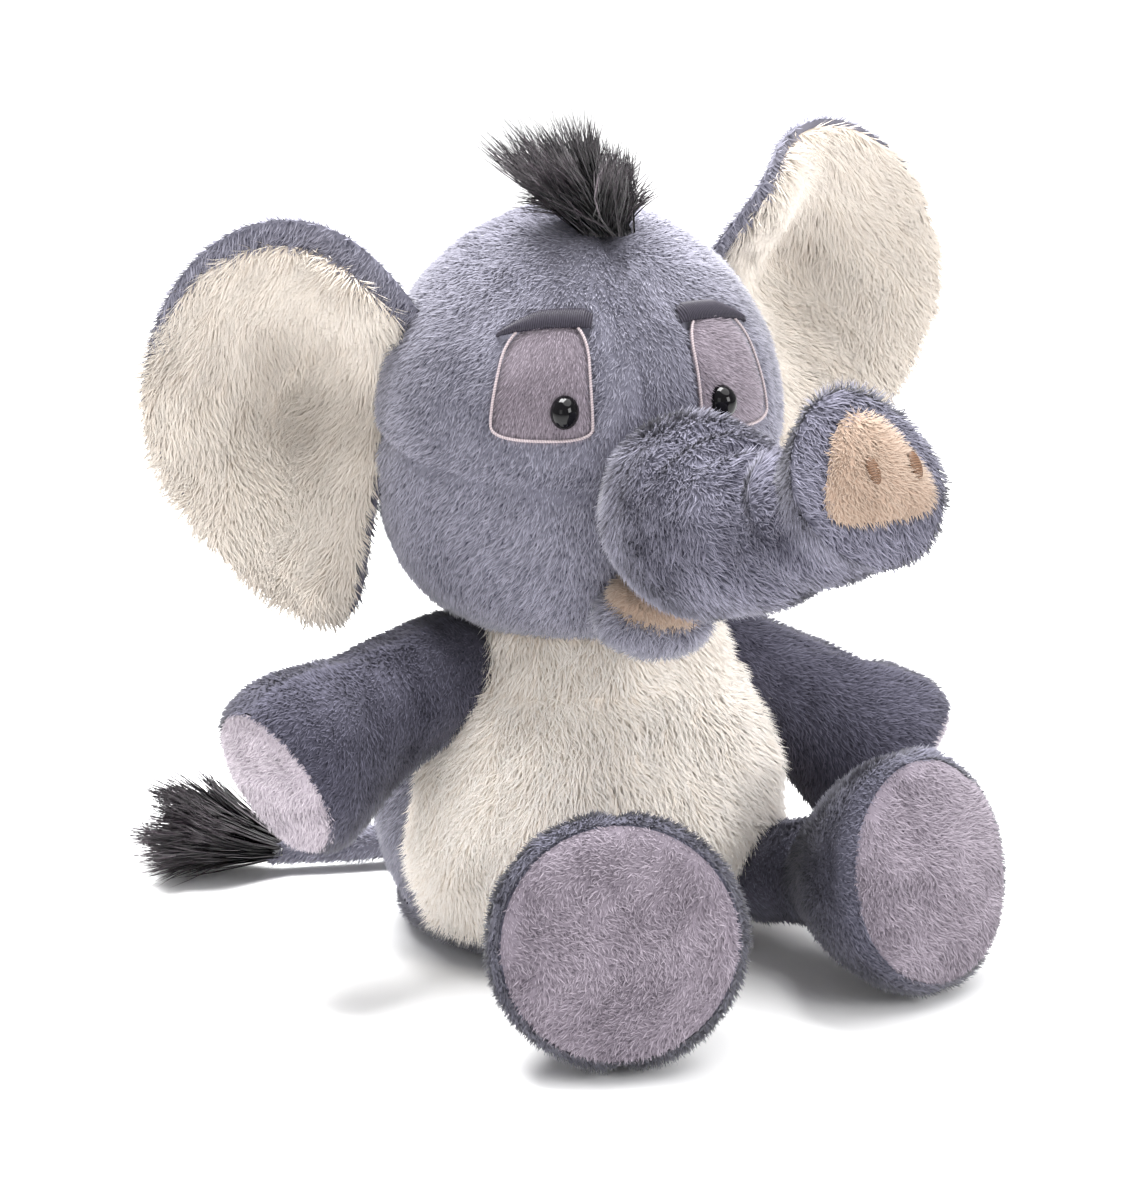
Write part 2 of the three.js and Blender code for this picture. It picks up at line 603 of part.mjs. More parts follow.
function headMeshes() {
  const eyes = [1, -1].map(eyePieces);
  const roots = [1, -1].map((sign) => earRoot(sign, EAR.grooveRadius, 3));
  const neckHole = uprightBar(HEAD.neckHole, 60, HEAD.neckHoleTop);
  const cuts = [trunkSocket(JOINT_GAP), neckHole, ...roots];
  const cleared = (body, more = []) => [...cuts, ...more].reduce((rest, cut) => rest.subtract(cut), body);
  const holes = eyes.map((eye) => eye.hole);
  const skin = cleared(headSolid(0).subtract(headSolid(FABRIC)), holes);
  const slope = new THREE.Vector3(0, -HEAD.cheekSeamSlope, 1);
  const seamPoint = new THREE.Vector3(0, HEAD.centre.y, HEAD.cheekSeamZ);
  const [forehead, cheeks] = seam(skin, seamPoint, slope);
  const [foreheadLeft, foreheadRight] = seam(forehead, HEAD.centre, new THREE.Vector3(1, 0, 0));
  const [cheekLeft, cheekRight] = seam(cheeks, HEAD.centre, new THREE.Vector3(1, 0, 0));
  const filling = cleared(headSolid(FABRIC + GAP), eyes.map((eye) => eye.pocket));

  const eyeMeshes = eyes.flatMap((eye, i) => {
    const sign = [1, -1][i];
    const patch = headLayer(patchOutline(sign), sign, APPLIQUE).subtract(eye.hole).subtract(trunkSocket(1));
    const lid = headLayer(lidOutline(sign), sign, APPLIQUE + 0.4);
    return [
      mesh(`eye_patch_${eye.name}`, patch, LILAC_THREAD),
      mesh(`eyelid_${eye.name}`, lid, PLUM_THREAD),
      mesh(`eye_bead_${eye.name}`, eye.bead, BLACK_GLOSS),
      mesh(`eye_washer_${eye.name}`, eye.washer, WHITE_PLASTIC),
    ];
  });

  const outside = headSolid(-GAP);
  const socket = trunkSocket(JOINT_GAP + 0.8);
  const lining = ellipsoid(MOUTH.centre, MOUTH.radii, 14, 8);
  const liningRoom = ellipsoid(MOUTH.centre, MOUTH.radii.map((r) => r + 2 * GAP), 14, 8);
  const lip = ellipsoid(LIP.centre, LIP.radii, 16, 10).subtract(liningRoom);
  const hair = ellipsoid([0, 0, 0], HAIR.radii, 14, 8)
    .transform(new THREE.Matrix4().makeRotationY(-HAIR.lean).setPosition(point(HAIR.centre)).elements);

  return [
    mesh('forehead_left', foreheadLeft, GREY_PLUSH),
    mesh('forehead_right', foreheadRight, GREY_PLUSH),
    mesh('cheek_left', cheekLeft, GREY_PLUSH),
    mesh('cheek_right', cheekRight, GREY_PLUSH),
    mesh('head_stuffing', filling, STUFFING),
    mesh('lower_lip', lip.subtract(outside).subtract(socket), GREY_PLUSH),
    mesh('mouth_lining', lining.subtract(outside).subtract(socket), PEACH_PLUSH),
    mesh('hair_tuft', hair.subtract(outside), DARK_PILE),
    ...eyeMeshes,
    ...trunkMeshes(),
    ...earMeshes(1),
    ...earMeshes(-1),
  ];
}

// ---- tail ----------------------------------------------------------------------------------

function tailMeshes() {
  const curve = new THREE.CatmullRomCurve3(TAIL.route.map(point), false, 'centripetal');
  const length = curve.getLength();
  const stretch = length / TAIL.outline.at(-1)[0];
  const tube = (inset) => {
    const rows = smooth(TAIL.outline, 4).map((p) => new THREE.Vector2(p.x - inset, p.y * stretch));
    rows[rows.length - 1].y -= inset;
    const end = rows.at(-1).y;
    const lathe = new THREE.LatheGeometry(
      [new THREE.Vector2(0, 0), ...rows, new THREE.Vector2(0, end)], 8);
    warp(lathe, (p) => {
      const share = THREE.MathUtils.clamp(p.y / length, 0, 1);
      const frame = axesAlong(curve.getTangentAt(share), curve.getPointAt(share));
      p.set(p.x, 0, p.z).applyMatrix4(frame);
    });
    return ballAt(TAIL.seat.toArray(), TAIL.rootRadius - inset, 8, 6).add(solid(lathe));
  };
  const skin = tube(0).subtract(tube(FABRIC));
  const [upper, lower] = seam(skin, new THREE.Vector3(0, 0, 9.2), new THREE.Vector3(0.03, 0.03, 1));
  const rows = TAIL.tuftOutline.map(([along, radius]) => new THREE.Vector2(radius, along));
  const tuft = new THREE.LatheGeometry(
    [new THREE.Vector2(0, 0), ...rows, new THREE.Vector2(0, TAIL.tuftTip)], 14);
  tuft.scale(1, 1, TAIL.tuftHeight).applyMatrix4(axesAlong(point(TAIL.tuftDirection), point(TAIL.tuftSeat)));
  return [
    mesh('tail_skin_top', upper, GREY_PLUSH),
    mesh('tail_skin_under', lower, GREY_PLUSH),
    mesh('tail_stuffing', tube(FABRIC + GAP), STUFFING),
    mesh('tail_tuft', solid(tuft), DARK_PILE),
  ];
}

// ---- the elephant --------------------------------------------------------------------------

const group = new THREE.Group();
group.add(...torsoMeshes(), collarMesh(), neckPlugMesh());
for (const [sideName, sign] of [['left', 1], ['right', -1]]) {
  group.add(...limbMeshes(`arm_${sideName}`, ARM, mirrored(ARM.seat, sign), ARM_END[sideName],
    `paw_pad_${sideName}`));
  group.add(...limbMeshes(`leg_${sideName}`, LEG, LEG_SEAT[sideName], LEG_END[sideName],
    `sole_${sideName}`));
}
group.add(...tailMeshes());

// The head is modelled looking straight ahead, then turned about the upright line of the neck.
const head = new THREE.Group();
const neckLine = new THREE.Vector3(HEAD.centre.x, HEAD.centre.y, 0);
head.position.copy(neckLine).sub(neckLine.clone().applyAxisAngle(new THREE.Vector3(0, 0, 1), HEAD.yaw));
head.rotation.z = HEAD.yaw;
head.add(...headMeshes());
group.add(head);

export default group;
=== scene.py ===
# %% [markdown]
# # A seated plush elephant
# The real toy is sewn from short grey-blue plush, with a longer cream pile on the belly and inside the
# ears, lilac soles and paw pads, a peach nose and mouth, embroidered eye patches and two glossy beads.
# It could be sculpted by hand, or made of smooth balls with a furry shader. Here every panel is a
# surface worked out with numpy on a grid, and its pile is real geometry: many thousands of small tufts that
# stand on the panel, because plush is known by its broken outline and by the streaks of its nap.

# %% The frame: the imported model, which gives every place
import json
import bpy
import numpy as np
from mathutils import Matrix, Vector


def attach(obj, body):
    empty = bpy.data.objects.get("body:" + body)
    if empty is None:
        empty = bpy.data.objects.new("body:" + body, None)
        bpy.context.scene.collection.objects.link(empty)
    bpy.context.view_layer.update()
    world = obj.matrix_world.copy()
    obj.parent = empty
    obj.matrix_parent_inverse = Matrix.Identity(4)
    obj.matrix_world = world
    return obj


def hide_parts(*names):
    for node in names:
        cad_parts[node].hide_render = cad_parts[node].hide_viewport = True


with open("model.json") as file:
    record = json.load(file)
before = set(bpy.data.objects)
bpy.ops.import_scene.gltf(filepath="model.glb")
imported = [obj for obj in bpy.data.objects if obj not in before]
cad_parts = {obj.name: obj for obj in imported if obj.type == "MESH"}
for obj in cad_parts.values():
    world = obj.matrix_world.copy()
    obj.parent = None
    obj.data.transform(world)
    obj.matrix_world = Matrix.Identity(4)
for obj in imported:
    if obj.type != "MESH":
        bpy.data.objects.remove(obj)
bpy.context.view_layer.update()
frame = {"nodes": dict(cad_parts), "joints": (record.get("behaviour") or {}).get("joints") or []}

MM = 0.001
joints = {joint["name"]: joint for joint in frame["joints"]}


def seat_of(name):
    """Where a joint is, in millimetres."""
    return np.array(joints[name]["pos_m"]) / MM


# %% [markdown]
# ## The camera
# The toy is seen from its right front, a little from above, with a long lens, so that the near foot
# isn't much larger than the far one. The camera looks along one direction given by two angles.

# %% The camera
AZIMUTH, ELEVATION = np.radians(-27), np.radians(15)
back_way = np.array([np.sin(AZIMUTH) * np.cos(ELEVATION),
                     -np.cos(AZIMUTH) * np.cos(ELEVATION), np.sin(ELEVATION)])
right_way = np.array([np.cos(AZIMUTH), np.sin(AZIMUTH), 0])
up_way = np.cross(back_way, right_way)
# In millimetres: a point in the toy, how far to the left of it and below it the camera aims, and how far
# away the camera stands.
PIVOT, AIM_LEFT, AIM_LOW, AWAY = np.array([0, -20, 110]), 7.7, 4.2, 1000
aim = PIVOT - AIM_LEFT * right_way - AIM_LOW * up_way
camera = bpy.data.objects.new("camera", bpy.data.cameras.new("camera"))
camera.data.lens, camera.data.sensor_width = 99, 36
camera.data.clip_start, camera.data.clip_end = 0.01, 50
camera.matrix_world = Matrix([[*v, p] for v, p in zip(
    np.stack([right_way, up_way, back_way], 1), (aim + AWAY * back_way) * MM)] + [[0, 0, 0, 1]])
bpy.context.scene.collection.objects.link(camera)
bpy.context.scene.camera = camera
print("camera", np.round(camera.location, 3))

# %% [markdown]
# ## Arrays instead of loops
# A surface is a grid of points P[i, j]. Its normals, its area and the pile on it all come from the same
# array. These few helpers do the vector work.

# %% Vector helpers
def unit(v):
    """Each vector divided by its length."""
    return v / np.maximum(np.linalg.norm(v, axis=-1, keepdims=True), 1e-9)


def dot(a, b):
    """The sum of products along the last axis, kept as a column."""
    return (a * b).sum(-1, keepdims=True)


def normals_of(P, outward):
    """A corner's normal is the sum of the cross products of its cells' diagonals. The first and last
    column are one line when the surface is closed round, and a row that is one point shares one normal."""
    cells = np.cross(P[1:, 1:] - P[:-1, :-1], P[:-1, 1:] - P[1:, :-1])
    N = np.zeros_like(P)
    N[:-1, :-1] += cells
    N[1:, :-1] += cells
    N[:-1, 1:] += cells
    N[1:, 1:] += cells
    if np.abs(P[:, 0] - P[:, -1]).max() < 1e-6:
        N[:, 0] += N[:, -1]
        N[:, -1] = N[:, 0]
    for row in (0, -1):
        if np.ptp(P[row], axis=0).max() < 1e-6:
            N[row] = N[row].sum(0)
    N = unit(N)
    return N if dot(N, P - outward).mean() > 0 else -N


def easy_line(pairs, at):
    """A smooth line through (x, y) pairs: cubic pieces whose slope at each pair is that of the chord
    between its two neighbours."""
    x, y = np.array(pairs, float).T
    slope = np.gradient(y, x)
    k = np.clip(np.searchsorted(x, at) - 1, 0, len(x) - 2)
    h = x[k + 1] - x[k]
    t = np.clip((at - x[k]) / h, 0, 1)
    return ((2 * t**3 - 3 * t**2 + 1) * y[k] + (t**3 - 2 * t**2 + t) * h * slope[k]
            + (3 * t**2 - 2 * t**3) * y[k + 1] + (t**3 - t**2) * h * slope[k + 1])


def hill(distance, width):
    """One at the middle, falling smoothly to nothing: e to the minus (distance / width) squared."""
    return np.exp(-(distance / width) ** 2)


def run(P, axis=0):
    """The distance travelled along a path, or along one axis of a grid, from its first point."""
    steps = np.linalg.norm(np.diff(P, axis=axis), axis=-1).cumsum(axis)
    return np.concatenate([np.zeros_like(steps.take([0], axis)), steps], axis)


def drift(p, size, seed):
    """A slow, smooth value between about -1 and 1 at each point: three sines along slanted directions."""
    ways = np.random.default_rng(seed).normal(size=(3, 3))
    phase = np.arange(3) * 2.1 + seed
    return np.sin(p @ unit(ways).T * (6.28 / size) + phase).mean(-1) * 1.5


# %% [markdown]
# ## Shader maths as Python
# A small class wraps a node's socket, so that colours and masks can be written as expressions.

# %% The socket class
class Value:
    """A socket of a material's node tree; + - * on it add Math nodes."""

    def __init__(self, tree, socket):
        self.tree, self.socket = tree, socket

    def math(self, operation, other, turned=False):
        pair = [other, self] if turned else [self, other]
        return self.tree.node("ShaderNodeMath", {"operation": operation}, {0: pair[0], 1: pair[1]})

    def __add__(self, other):
        return self.math("ADD", other)

    def __sub__(self, other):
        return self.math("SUBTRACT", other)

    def __rsub__(self, other):
        return self.math("SUBTRACT", other, turned=True)

    def __mul__(self, other):
        return self.math("MULTIPLY", other)

    __radd__, __rmul__ = __add__, __mul__


class Finish:
    """A new material with a Principled surface, and one method that adds any other node."""

    def __init__(self, name, **surface):
        self.material = bpy.data.materials.new(name)
        self.material.use_nodes = True
        self.nodes = self.material.node_tree.nodes
        self.links = self.material.node_tree.links
        self.surface = self.nodes["Principled BSDF"]
        for socket, value in surface.items():
            self.put(self.surface.inputs[socket.replace("_", " ")], value)

    def put(self, socket, value):
        if isinstance(value, Value):
            self.links.new(value.socket, socket)
        else:
            socket.default_value = value

    def node(self, kind, settings, inputs, output=0):
        made = self.nodes.new(kind)
        for key, value in settings.items():
            setattr(made, key, value)
        for key, value in inputs.items():
            self.put(made.inputs[key], value)
        return Value(self, made.outputs[output])

    def attribute(self, name):
        return self.node("ShaderNodeAttribute", {"attribute_name": name}, {}, "Fac")

    def place(self):
        return self.node("ShaderNodeTexCoord", {}, {}, "Object")

    def noise(self, scale, detail=2.0):
        inputs = {"Vector": self.place(), "Scale": scale, "Detail": detail}
        return self.node("ShaderNodeTexNoise", {}, inputs)

    def mix(self, share, low, high):
        """A colour between two others: sockets 6 and 7 of a Mix node are its colours, and output 2 is
        the colour that comes out."""
        return self.node("ShaderNodeMix", {"data_type": "RGBA", "clamp_factor": True},
                         {0: share, 6: low, 7: high}, 2)

    def bump(self, height, distance, strength=1.0):
        inputs = {"Height": height, "Distance": distance, "Strength": strength}
        return self.node("ShaderNodeBump", {}, inputs, "Normal")


# %% [markdown]
# ## Plush
# Plush is a knit with a cut pile. Light gets in between the tufts, so their roots look dark and their
# tips pale, and each tuft catches a little more or less of it. Two attributes on the mesh paint that shade
# into the colour: `rise` goes from 0 at the root, painted dark, to 1 at the tip, painted pale, and `tone` is a
# number of the tuft's own. A slow noise adds painted light and shade: the clouds that a hand leaves when it
# strokes the nap.

# %% Plush, thread, bead and filling finishes
CLOUD_SCALE, FIBRE_SCALE = 38, 900      # how fine the two noises are, per metre


def plush(name, root, tip, tone=0.16, clouds=0.22, sheen=0.25):
    f = Finish(name, Roughness=0.92, Sheen_Weight=sheen, Sheen_Roughness=0.5, Specular_IOR_Level=0.15)
    # Painted shade: the root colour is the shade at the pile's foot and the tip colour the lit ends; the noise
    # paints patches of light and shade over it.
    rise = (f.attribute("rise") * (1 - clouds / 2) + (f.noise(CLOUD_SCALE) - 0.5) * clouds
            + f.attribute("tone") * tone)
    f.put(f.surface.inputs["Base Color"], f.mix(rise, (*root, 1), (*tip, 1)))
    return f.material


def thread(name, dark, light):
    """Satin stitch: parallel shiny threads, painted darker where they dip between each other, as shade."""
    f = Finish(name, Roughness=0.5, Sheen_Weight=0.03, Specular_IOR_Level=0.25)
    share = f.attribute("rise") * 0.85 + (f.noise(FIBRE_SCALE) - 0.5) * 0.5
    f.put(f.surface.inputs["Base Color"], f.mix(share, (*dark, 1), (*light, 1)))
    return f.material


grey = plush("grey plush", (0.050, 0.049, 0.072), (0.385, 0.377, 0.455), tone=0.15, clouds=0.42)
# Painted shade: the arm, leg and trunk greys are darker copies of the one grey plush, standing for the shade
# on those parts.
shaded_arm_grey = plush("shaded grey arm plush", (0.022, 0.021, 0.034), (0.145, 0.14, 0.19), tone=0.16, clouds=0.4)
shaded_leg_grey = plush("shaded grey leg plush", (0.034, 0.033, 0.050), (0.22, 0.215, 0.28), tone=0.16, clouds=0.4)
shaded_trunk_grey = plush("shaded grey trunk plush", (0.036, 0.035, 0.056), (0.30, 0.292, 0.37), tone=0.17, clouds=0.42)
# Painted light and shade: one cream pile in two copies, painted lighter on the belly, which lies in the head's
# shade, and darker inside the ears.
cream = plush("cream pile", (0.78, 0.66, 0.54), (0.97, 0.93, 0.88), tone=0.10, clouds=0.2, sheen=0.1)
shaded_ear_cream = plush("shaded ear cream pile", (0.64, 0.53, 0.43), (0.78, 0.73, 0.67), tone=0.06, clouds=0.2, sheen=0.1)
lilac = plush("lilac plush", (0.12, 0.10, 0.125), (0.40, 0.352, 0.405), tone=0.2, clouds=0.5)
paw_lilac = plush("paw lilac plush", (0.22, 0.19, 0.22), (0.56, 0.50, 0.55), tone=0.16, clouds=0.4)
patch_lilac = plush("lilac patch", (0.09, 0.074, 0.09), (0.37, 0.32, 0.37), tone=0.2, clouds=0.2)
peach = plush("peach plush", (0.32, 0.215, 0.155), (0.47, 0.375, 0.305), tone=0.08, clouds=0.1)
dark_pile = plush("dark pile", (0.018, 0.011, 0.016), (0.14, 0.084, 0.122), tone=0.3, clouds=0.3, sheen=0.15)
plum_thread = thread("plum thread", (0.008, 0.007, 0.012), (0.040, 0.034, 0.052))
pale_thread = thread("pale thread", (0.24, 0.195, 0.21), (0.52, 0.45, 0.46))
brown_thread = thread("brown thread", (0.06, 0.03, 0.017), (0.20, 0.11, 0.065))

bead = Finish("black bead", Roughness=0.05, Specular_IOR_Level=0.15, Coat_Weight=0.15, Coat_Roughness=0.02)
bead.put(bead.surface.inputs["Base Color"],
         bead.mix(bead.noise(60), (0.0015, 0.0015, 0.002, 1), (0.004, 0.0035, 0.0045, 1)))
bead = bead.material


def filling(name, low, high, scale, depth):
    """Loose fibre or woven cloth: a noise in the colour, and the same noise as small bumps."""
    f = Finish(name, Roughness=0.9)
    grain = f.noise(scale, 5.0)
    f.put(f.surface.inputs["Base Color"], f.mix(grain, (*low, 1), (*high, 1)))
    f.put(f.surface.inputs["Normal"], f.bump(grain, depth))
    return f.material


fibre = filling("stuffing fibre", (0.74, 0.73, 0.69), (0.93, 0.92, 0.89), 240, 0.001)
bag_cloth = filling("pellet bag cloth", (0.55, 0.51, 0.43), (0.74, 0.70, 0.60), 900, 0.0004)
washer_plastic = filling("washer plastic", (0.70, 0.70, 0.67), (0.80, 0.80, 0.77), 300, 0.0001)
print(len(bpy.data.materials), "finishes")

# %% [markdown]
# ## From grid to mesh
# A panel is a thin closed shell: the grid, a copy of it a little deeper, and walls between their edges.
# Points that coincide, at a pole or where a closed form meets itself, are welded, and triangles that
# lose an edge to that are dropped, so that no hole and no doubled face is left.

# %% Grids, shells and tubes as triangles
def grid_cells(rows, cols, start=0, flip=False):
    """The two triangles of each cell of a grid whose points are numbered row by row."""
    k = start + np.arange(rows * cols).reshape(rows, cols)
    a, b, c, d = k[:-1, :-1], k[1:, :-1], k[1:, 1:], k[:-1, 1:]
    both = np.stack([a, b, c, a, c, d], -1).reshape(-1, 3)
    return both[:, ::-1] if flip else both


def part(co, tri, normal, rise, tone, uv):
    return {"co": co, "tri": tri, "normal": normal, "rise": rise, "tone": tone, "uv": uv}


def faces_out(P, N):
    """Whether a grid's triangles, taken row by row, already face along its normals."""
    middle = (P.shape[0] - 1) // 2
    cell = np.cross(P[middle + 1, 1:] - P[middle, :-1], P[middle, 1:] - P[middle + 1, :-1])
    return dot(cell, N[middle, :-1]).sum() > 0


# rise is the share between a finish's painted-shade root colour and its lit tip colour; the backing under the
# pile takes 0.35, painted part shaded.
def skin(P, N, thick=1.3, rise=0.35, band=(0.80, 1.0)):
    """A closed shell. Corner k of the outside is P[k]; the same corner of the inside is P minus N times
    the thickness. The rim is a strip of cells between the two. A thick of 0 is for a closed form."""
    rows, cols = P.shape[:2]
    flip = not faces_out(P, N)
    tri = [grid_cells(rows, cols, 0, flip)]
    co, normal = [P.reshape(-1, 3)], [N.reshape(-1, 3)]
    u, v = np.meshgrid(np.linspace(0, 1, cols), np.linspace(band[0] + 0.005, band[1] - 0.005, rows))
    uv = [np.stack([u, v], -1).reshape(-1, 2)]
    if thick:
        co.append((P - N * thick).reshape(-1, 3))
        normal.append(-normal[0])
        uv.append(uv[0])
        tri.append(grid_cells(rows, cols, rows * cols, not flip))
        k = np.arange(rows * cols).reshape(rows, cols)
        loop = np.concatenate([k[0], k[1:, -1], k[-1, -2::-1], k[-2:0:-1, 0], k[:1, 0]])
        rim = np.stack([loop[:-1], loop[1:], loop[1:] + rows * cols,
                        loop[:-1], loop[1:] + rows * cols, loop[:-1] + rows * cols], -1).reshape(-1, 3)
        tri.append(rim if not flip else rim[:, ::-1])
    co = np.concatenate(co)
    return part(co, np.concatenate(tri), np.concatenate(normal), np.full(len(co), rise),
                np.zeros(len(co)), np.concatenate(uv))


# %% [markdown]
# ## The pile
# Each tuft is a slim tetrahedron. Its root is picked so that equal areas get equal numbers, it leans
# along the nap, and a slow swirl and a little chance turn it, because no two tufts lie quite alike.

# %% Planting the pile
FLOOR_GAP = 0.15     # nothing hangs lower than this over the floor, in millimetres
SEAM_TRIM = 0.4      # the share by which the pile is shorter in a seam
TUFT_FACES = np.array([[0, 1, 2], [1, 0, 3], [2, 1, 3], [0, 2, 3]])
TUFT_MAP = np.array([[0.15, 0.12], [0.85, 0.12], [0.5, 0.2], [0.5, 0.88]])


def plant(P, N, nap, seed, per_mm2=1.5, long=3.2, wide=0.62, lean=58, keep=None, swirl=0.35, loose=0.3,
          shaded_root_rise=0.12, near=None):
    """Tufts on a grid. Root: a cell drawn by its area, then a point between its corners. Direction:
    normal times cos(lean) plus nap times sin(lean). Tip: root plus direction times length."""
    draw = np.random.default_rng(seed)
    cells = np.cross(P[1:, 1:] - P[:-1, :-1], P[:-1, 1:] - P[1:, :-1])
    area = np.linalg.norm(cells, axis=-1) / 2
    total = area.sum()
    count = int(total * per_mm2)
    at = (np.arange(count) + draw.random(count)) / count * total
    cell = np.minimum(np.searchsorted(area.ravel().cumsum(), at), area.size - 1)
    i, j = np.unravel_index(cell, area.shape)
    s, t = draw.random((2, count, 1))

    def between(G):
        return ((1 - s) * (1 - t) * G[i, j] + s * (1 - t) * G[i + 1, j]
                + (1 - s) * t * G[i, j + 1] + s * t * G[i + 1, j + 1])

    root, out = between(P), unit(between(N))
    kept = np.ones(count, bool) if keep is None else keep(root)
    kept &= ~((root[:, 2] < 1.5) & (out[:, 2] < -0.5))
    root, out = root[kept], out[kept]
    count = len(root)
    way = nap(root)
    way = unit(way - dot(way, out) * out)
    side = np.cross(out, way)
    turn = (swirl * drift(root, 34, seed + 1) + 0.6 * swirl * drift(root, 11, seed + 2)
            + draw.normal(0, loose, count))[:, None]
    way = way * np.cos(turn) + side * np.sin(turn)
    side = np.cross(out, way)
    tip_lean = np.radians(lean + draw.normal(0, 7, count) + 8 * drift(root, 16, seed + 3))[:, None]
    length = (long * (0.72 + 0.5 * draw.random(count)))[:, None]
    width = (wide * (0.75 + 0.5 * draw.random(count)))[:, None]
    if near is not None:
        length = length * (1 - SEAM_TRIM * between(near[..., None])[kept])
    direction = out * np.cos(tip_lean) + way * np.sin(tip_lean)
    w = width / 2
    foot = [root + side * w, root - side * w, root - way * w * 1.5 + out * w * 0.3]
    co = np.stack([*(corner - out * 0.35 for corner in foot), root + direction * length], 1)
    co[..., 2] = np.maximum(co[..., 2], FLOOR_GAP)
    tri = (np.arange(count)[:, None, None] * 4 + TUFT_FACES).reshape(-1, 3)
    lateral = np.stack([side, -side, -way, way * 0.5], 1)
    normal = unit(out[:, None] * 1.1 + lateral * 0.55)
    # Painted shade: the foot corners take the low rise, so each tuft's colour is dark at its root and pale at
    # its tip.
    rise = np.tile([shaded_root_rise, shaded_root_rise, shaded_root_rise, 1.0], count)
    tone = np.repeat(draw.normal(0, 1, count), 4)
    # Each tuft has its own small cell of the bake map, with its root low and its tip high in it.
    across = int(np.ceil(np.sqrt(count * 1.25)))
    cell_u, cell_v = (np.arange(count) % across) / across, (np.arange(count) // across) / across
    uv = (np.stack([cell_u, cell_v], -1)[:, None] + TUFT_MAP / across) * [1, 0.99]
    return part(co.reshape(-1, 3), tri, normal.reshape(-1, 3), rise, tone, uv.reshape(-1, 2))


# %% [markdown]
# ## Putting a piece in the scene
# One function joins a piece's parts, welds them, writes the attributes and the bake map, and says which
# body it rides on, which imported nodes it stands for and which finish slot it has.

# %% Making a piece
triangles = {}


def piece(name, parts, finish, body, nodes=()):
    """Parts to one mesh: numbers of later parts are shifted, points equal to a micron are one, and
    triangles with two equal corners go. The bake map is kept for each corner of each triangle."""
    shift = np.cumsum([0] + [len(p["co"]) for p in parts])
    tri = np.concatenate([p["tri"] + s for p, s in zip(parts, shift)])
    co, normal = (np.concatenate([p[k] for p in parts]) for k in ("co", "normal"))
    rise, tone = (np.concatenate([p[k] for p in parts]) for k in ("rise", "tone"))
    uv = np.concatenate([p["uv"] for p in parts])[tri]
    owner = np.repeat(np.arange(len(parts)), np.diff(shift))
    key = np.concatenate([np.round(co * 1000).astype(np.int64), owner[:, None]], 1)
    _, first, back = np.unique(key, axis=0, return_index=True, return_inverse=True)
    tri = back.ravel()[tri]
    good = (tri[:, 0] != tri[:, 1]) & (tri[:, 1] != tri[:, 2]) & (tri[:, 2] != tri[:, 0])
    tri, uv = tri[good], uv[good]
    mesh = bpy.data.meshes.new(name)
    mesh.vertices.add(len(first))
    mesh.vertices.foreach_set("co", (co[first] * MM).astype(np.float32).ravel())
    mesh.loops.add(tri.size)
    mesh.loops.foreach_set("vertex_index", tri.astype(np.int32).ravel())
    mesh.polygons.add(len(tri))
    mesh.polygons.foreach_set("loop_start", np.arange(len(tri), dtype=np.int32) * 3)
    mesh.update(calc_edges=True)
    mesh.shade_smooth()
    for key, values in (("rise", rise), ("tone", tone)):
        layer = mesh.attributes.new(key, "FLOAT", "POINT")
        layer.data.foreach_set("value", values[first].astype(np.float32))
    mesh.uv_layers.new(name="OFBake").data.foreach_set("uv", uv.astype(np.float32).ravel())
    mesh.normals_split_custom_set_from_vertices(normal[first].astype(np.float32))
    mesh.materials.append(finish)
    made = bpy.data.objects.new(name, mesh)
    bpy.context.scene.collection.objects.link(made)
    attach(made, body)
    if nodes:
        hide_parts(*nodes)
    triangles[name] = len(tri)
    return made


# %% [markdown]
# ## Sewn edges
# Where two panels are sewn, the stuffing can't push the seam out, so the surface sinks into a narrow
# valley. A panel's grid sinks by a hill of its distance to each sewn edge, measured along the cloth.

# %% Sinking the seams
INSET = 1.9          # the backing lies this far under the tips of the pile


def sewn(P, N, edges="0123", depth=1.5, reach=3.2, inset=INSET):
    """Edges are 0 and 1 for the first and last row, 2 and 3 for the first and last column."""
    down, over = run(P, 0), run(P, 1)
    to_edge = {"0": down, "1": down[-1:] - down, "2": over, "3": over[:, -1:] - over}
    dip = np.zeros(P.shape[:2])
    for edge in edges:
        dip = np.maximum(dip, depth * hill(to_edge[edge], reach))
    return P - N * (inset + dip)[..., None], dip / max(depth, 1e-6)


# %% [markdown]
# ## The head
# The head is a stuffed ball that is fuller below its middle. Its panels meet in a seam over the top of
# the forehead and in a cheek seam just under the eyes. It is worked out looking straight ahead, and
# every piece of it is turned together, a little to the elephant's right.

# %% The head's form
NECK = seat_of("head_turn")
HEAD_WIDE, HEAD_TALL = 62.0, 65.0
YAW = np.radians(-8)
turn_head = np.array([[np.cos(YAW), -np.sin(YAW), 0], [np.sin(YAW), np.cos(YAW), 0], [0, 0, 1]])


def turned(P):
    return (P - NECK) @ turn_head.T + NECK


def unturned(P):
    return (P - NECK) @ turn_head + NECK


# The visible head isn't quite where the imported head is: it is moved this far, in millimetres, to the
# elephant's right, back and up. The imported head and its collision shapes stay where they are.
HEAD_SHIFT = np.array([-3.0, 1.5, 3.0])


def in_place(shells, shift=0):
    """Shells worked out looking straight ahead, turned with the head and then shifted."""
    for p in shells:
        p["co"], p["normal"] = turned(p["co"]) + shift, p["normal"] @ turn_head.T
    return shells


def head_height(angle):
    """Where the cheek seam is, as a share of the head's height: lower in front than behind."""
    return -(4 + 6.2 * np.cos(angle)) / HEAD_TALL


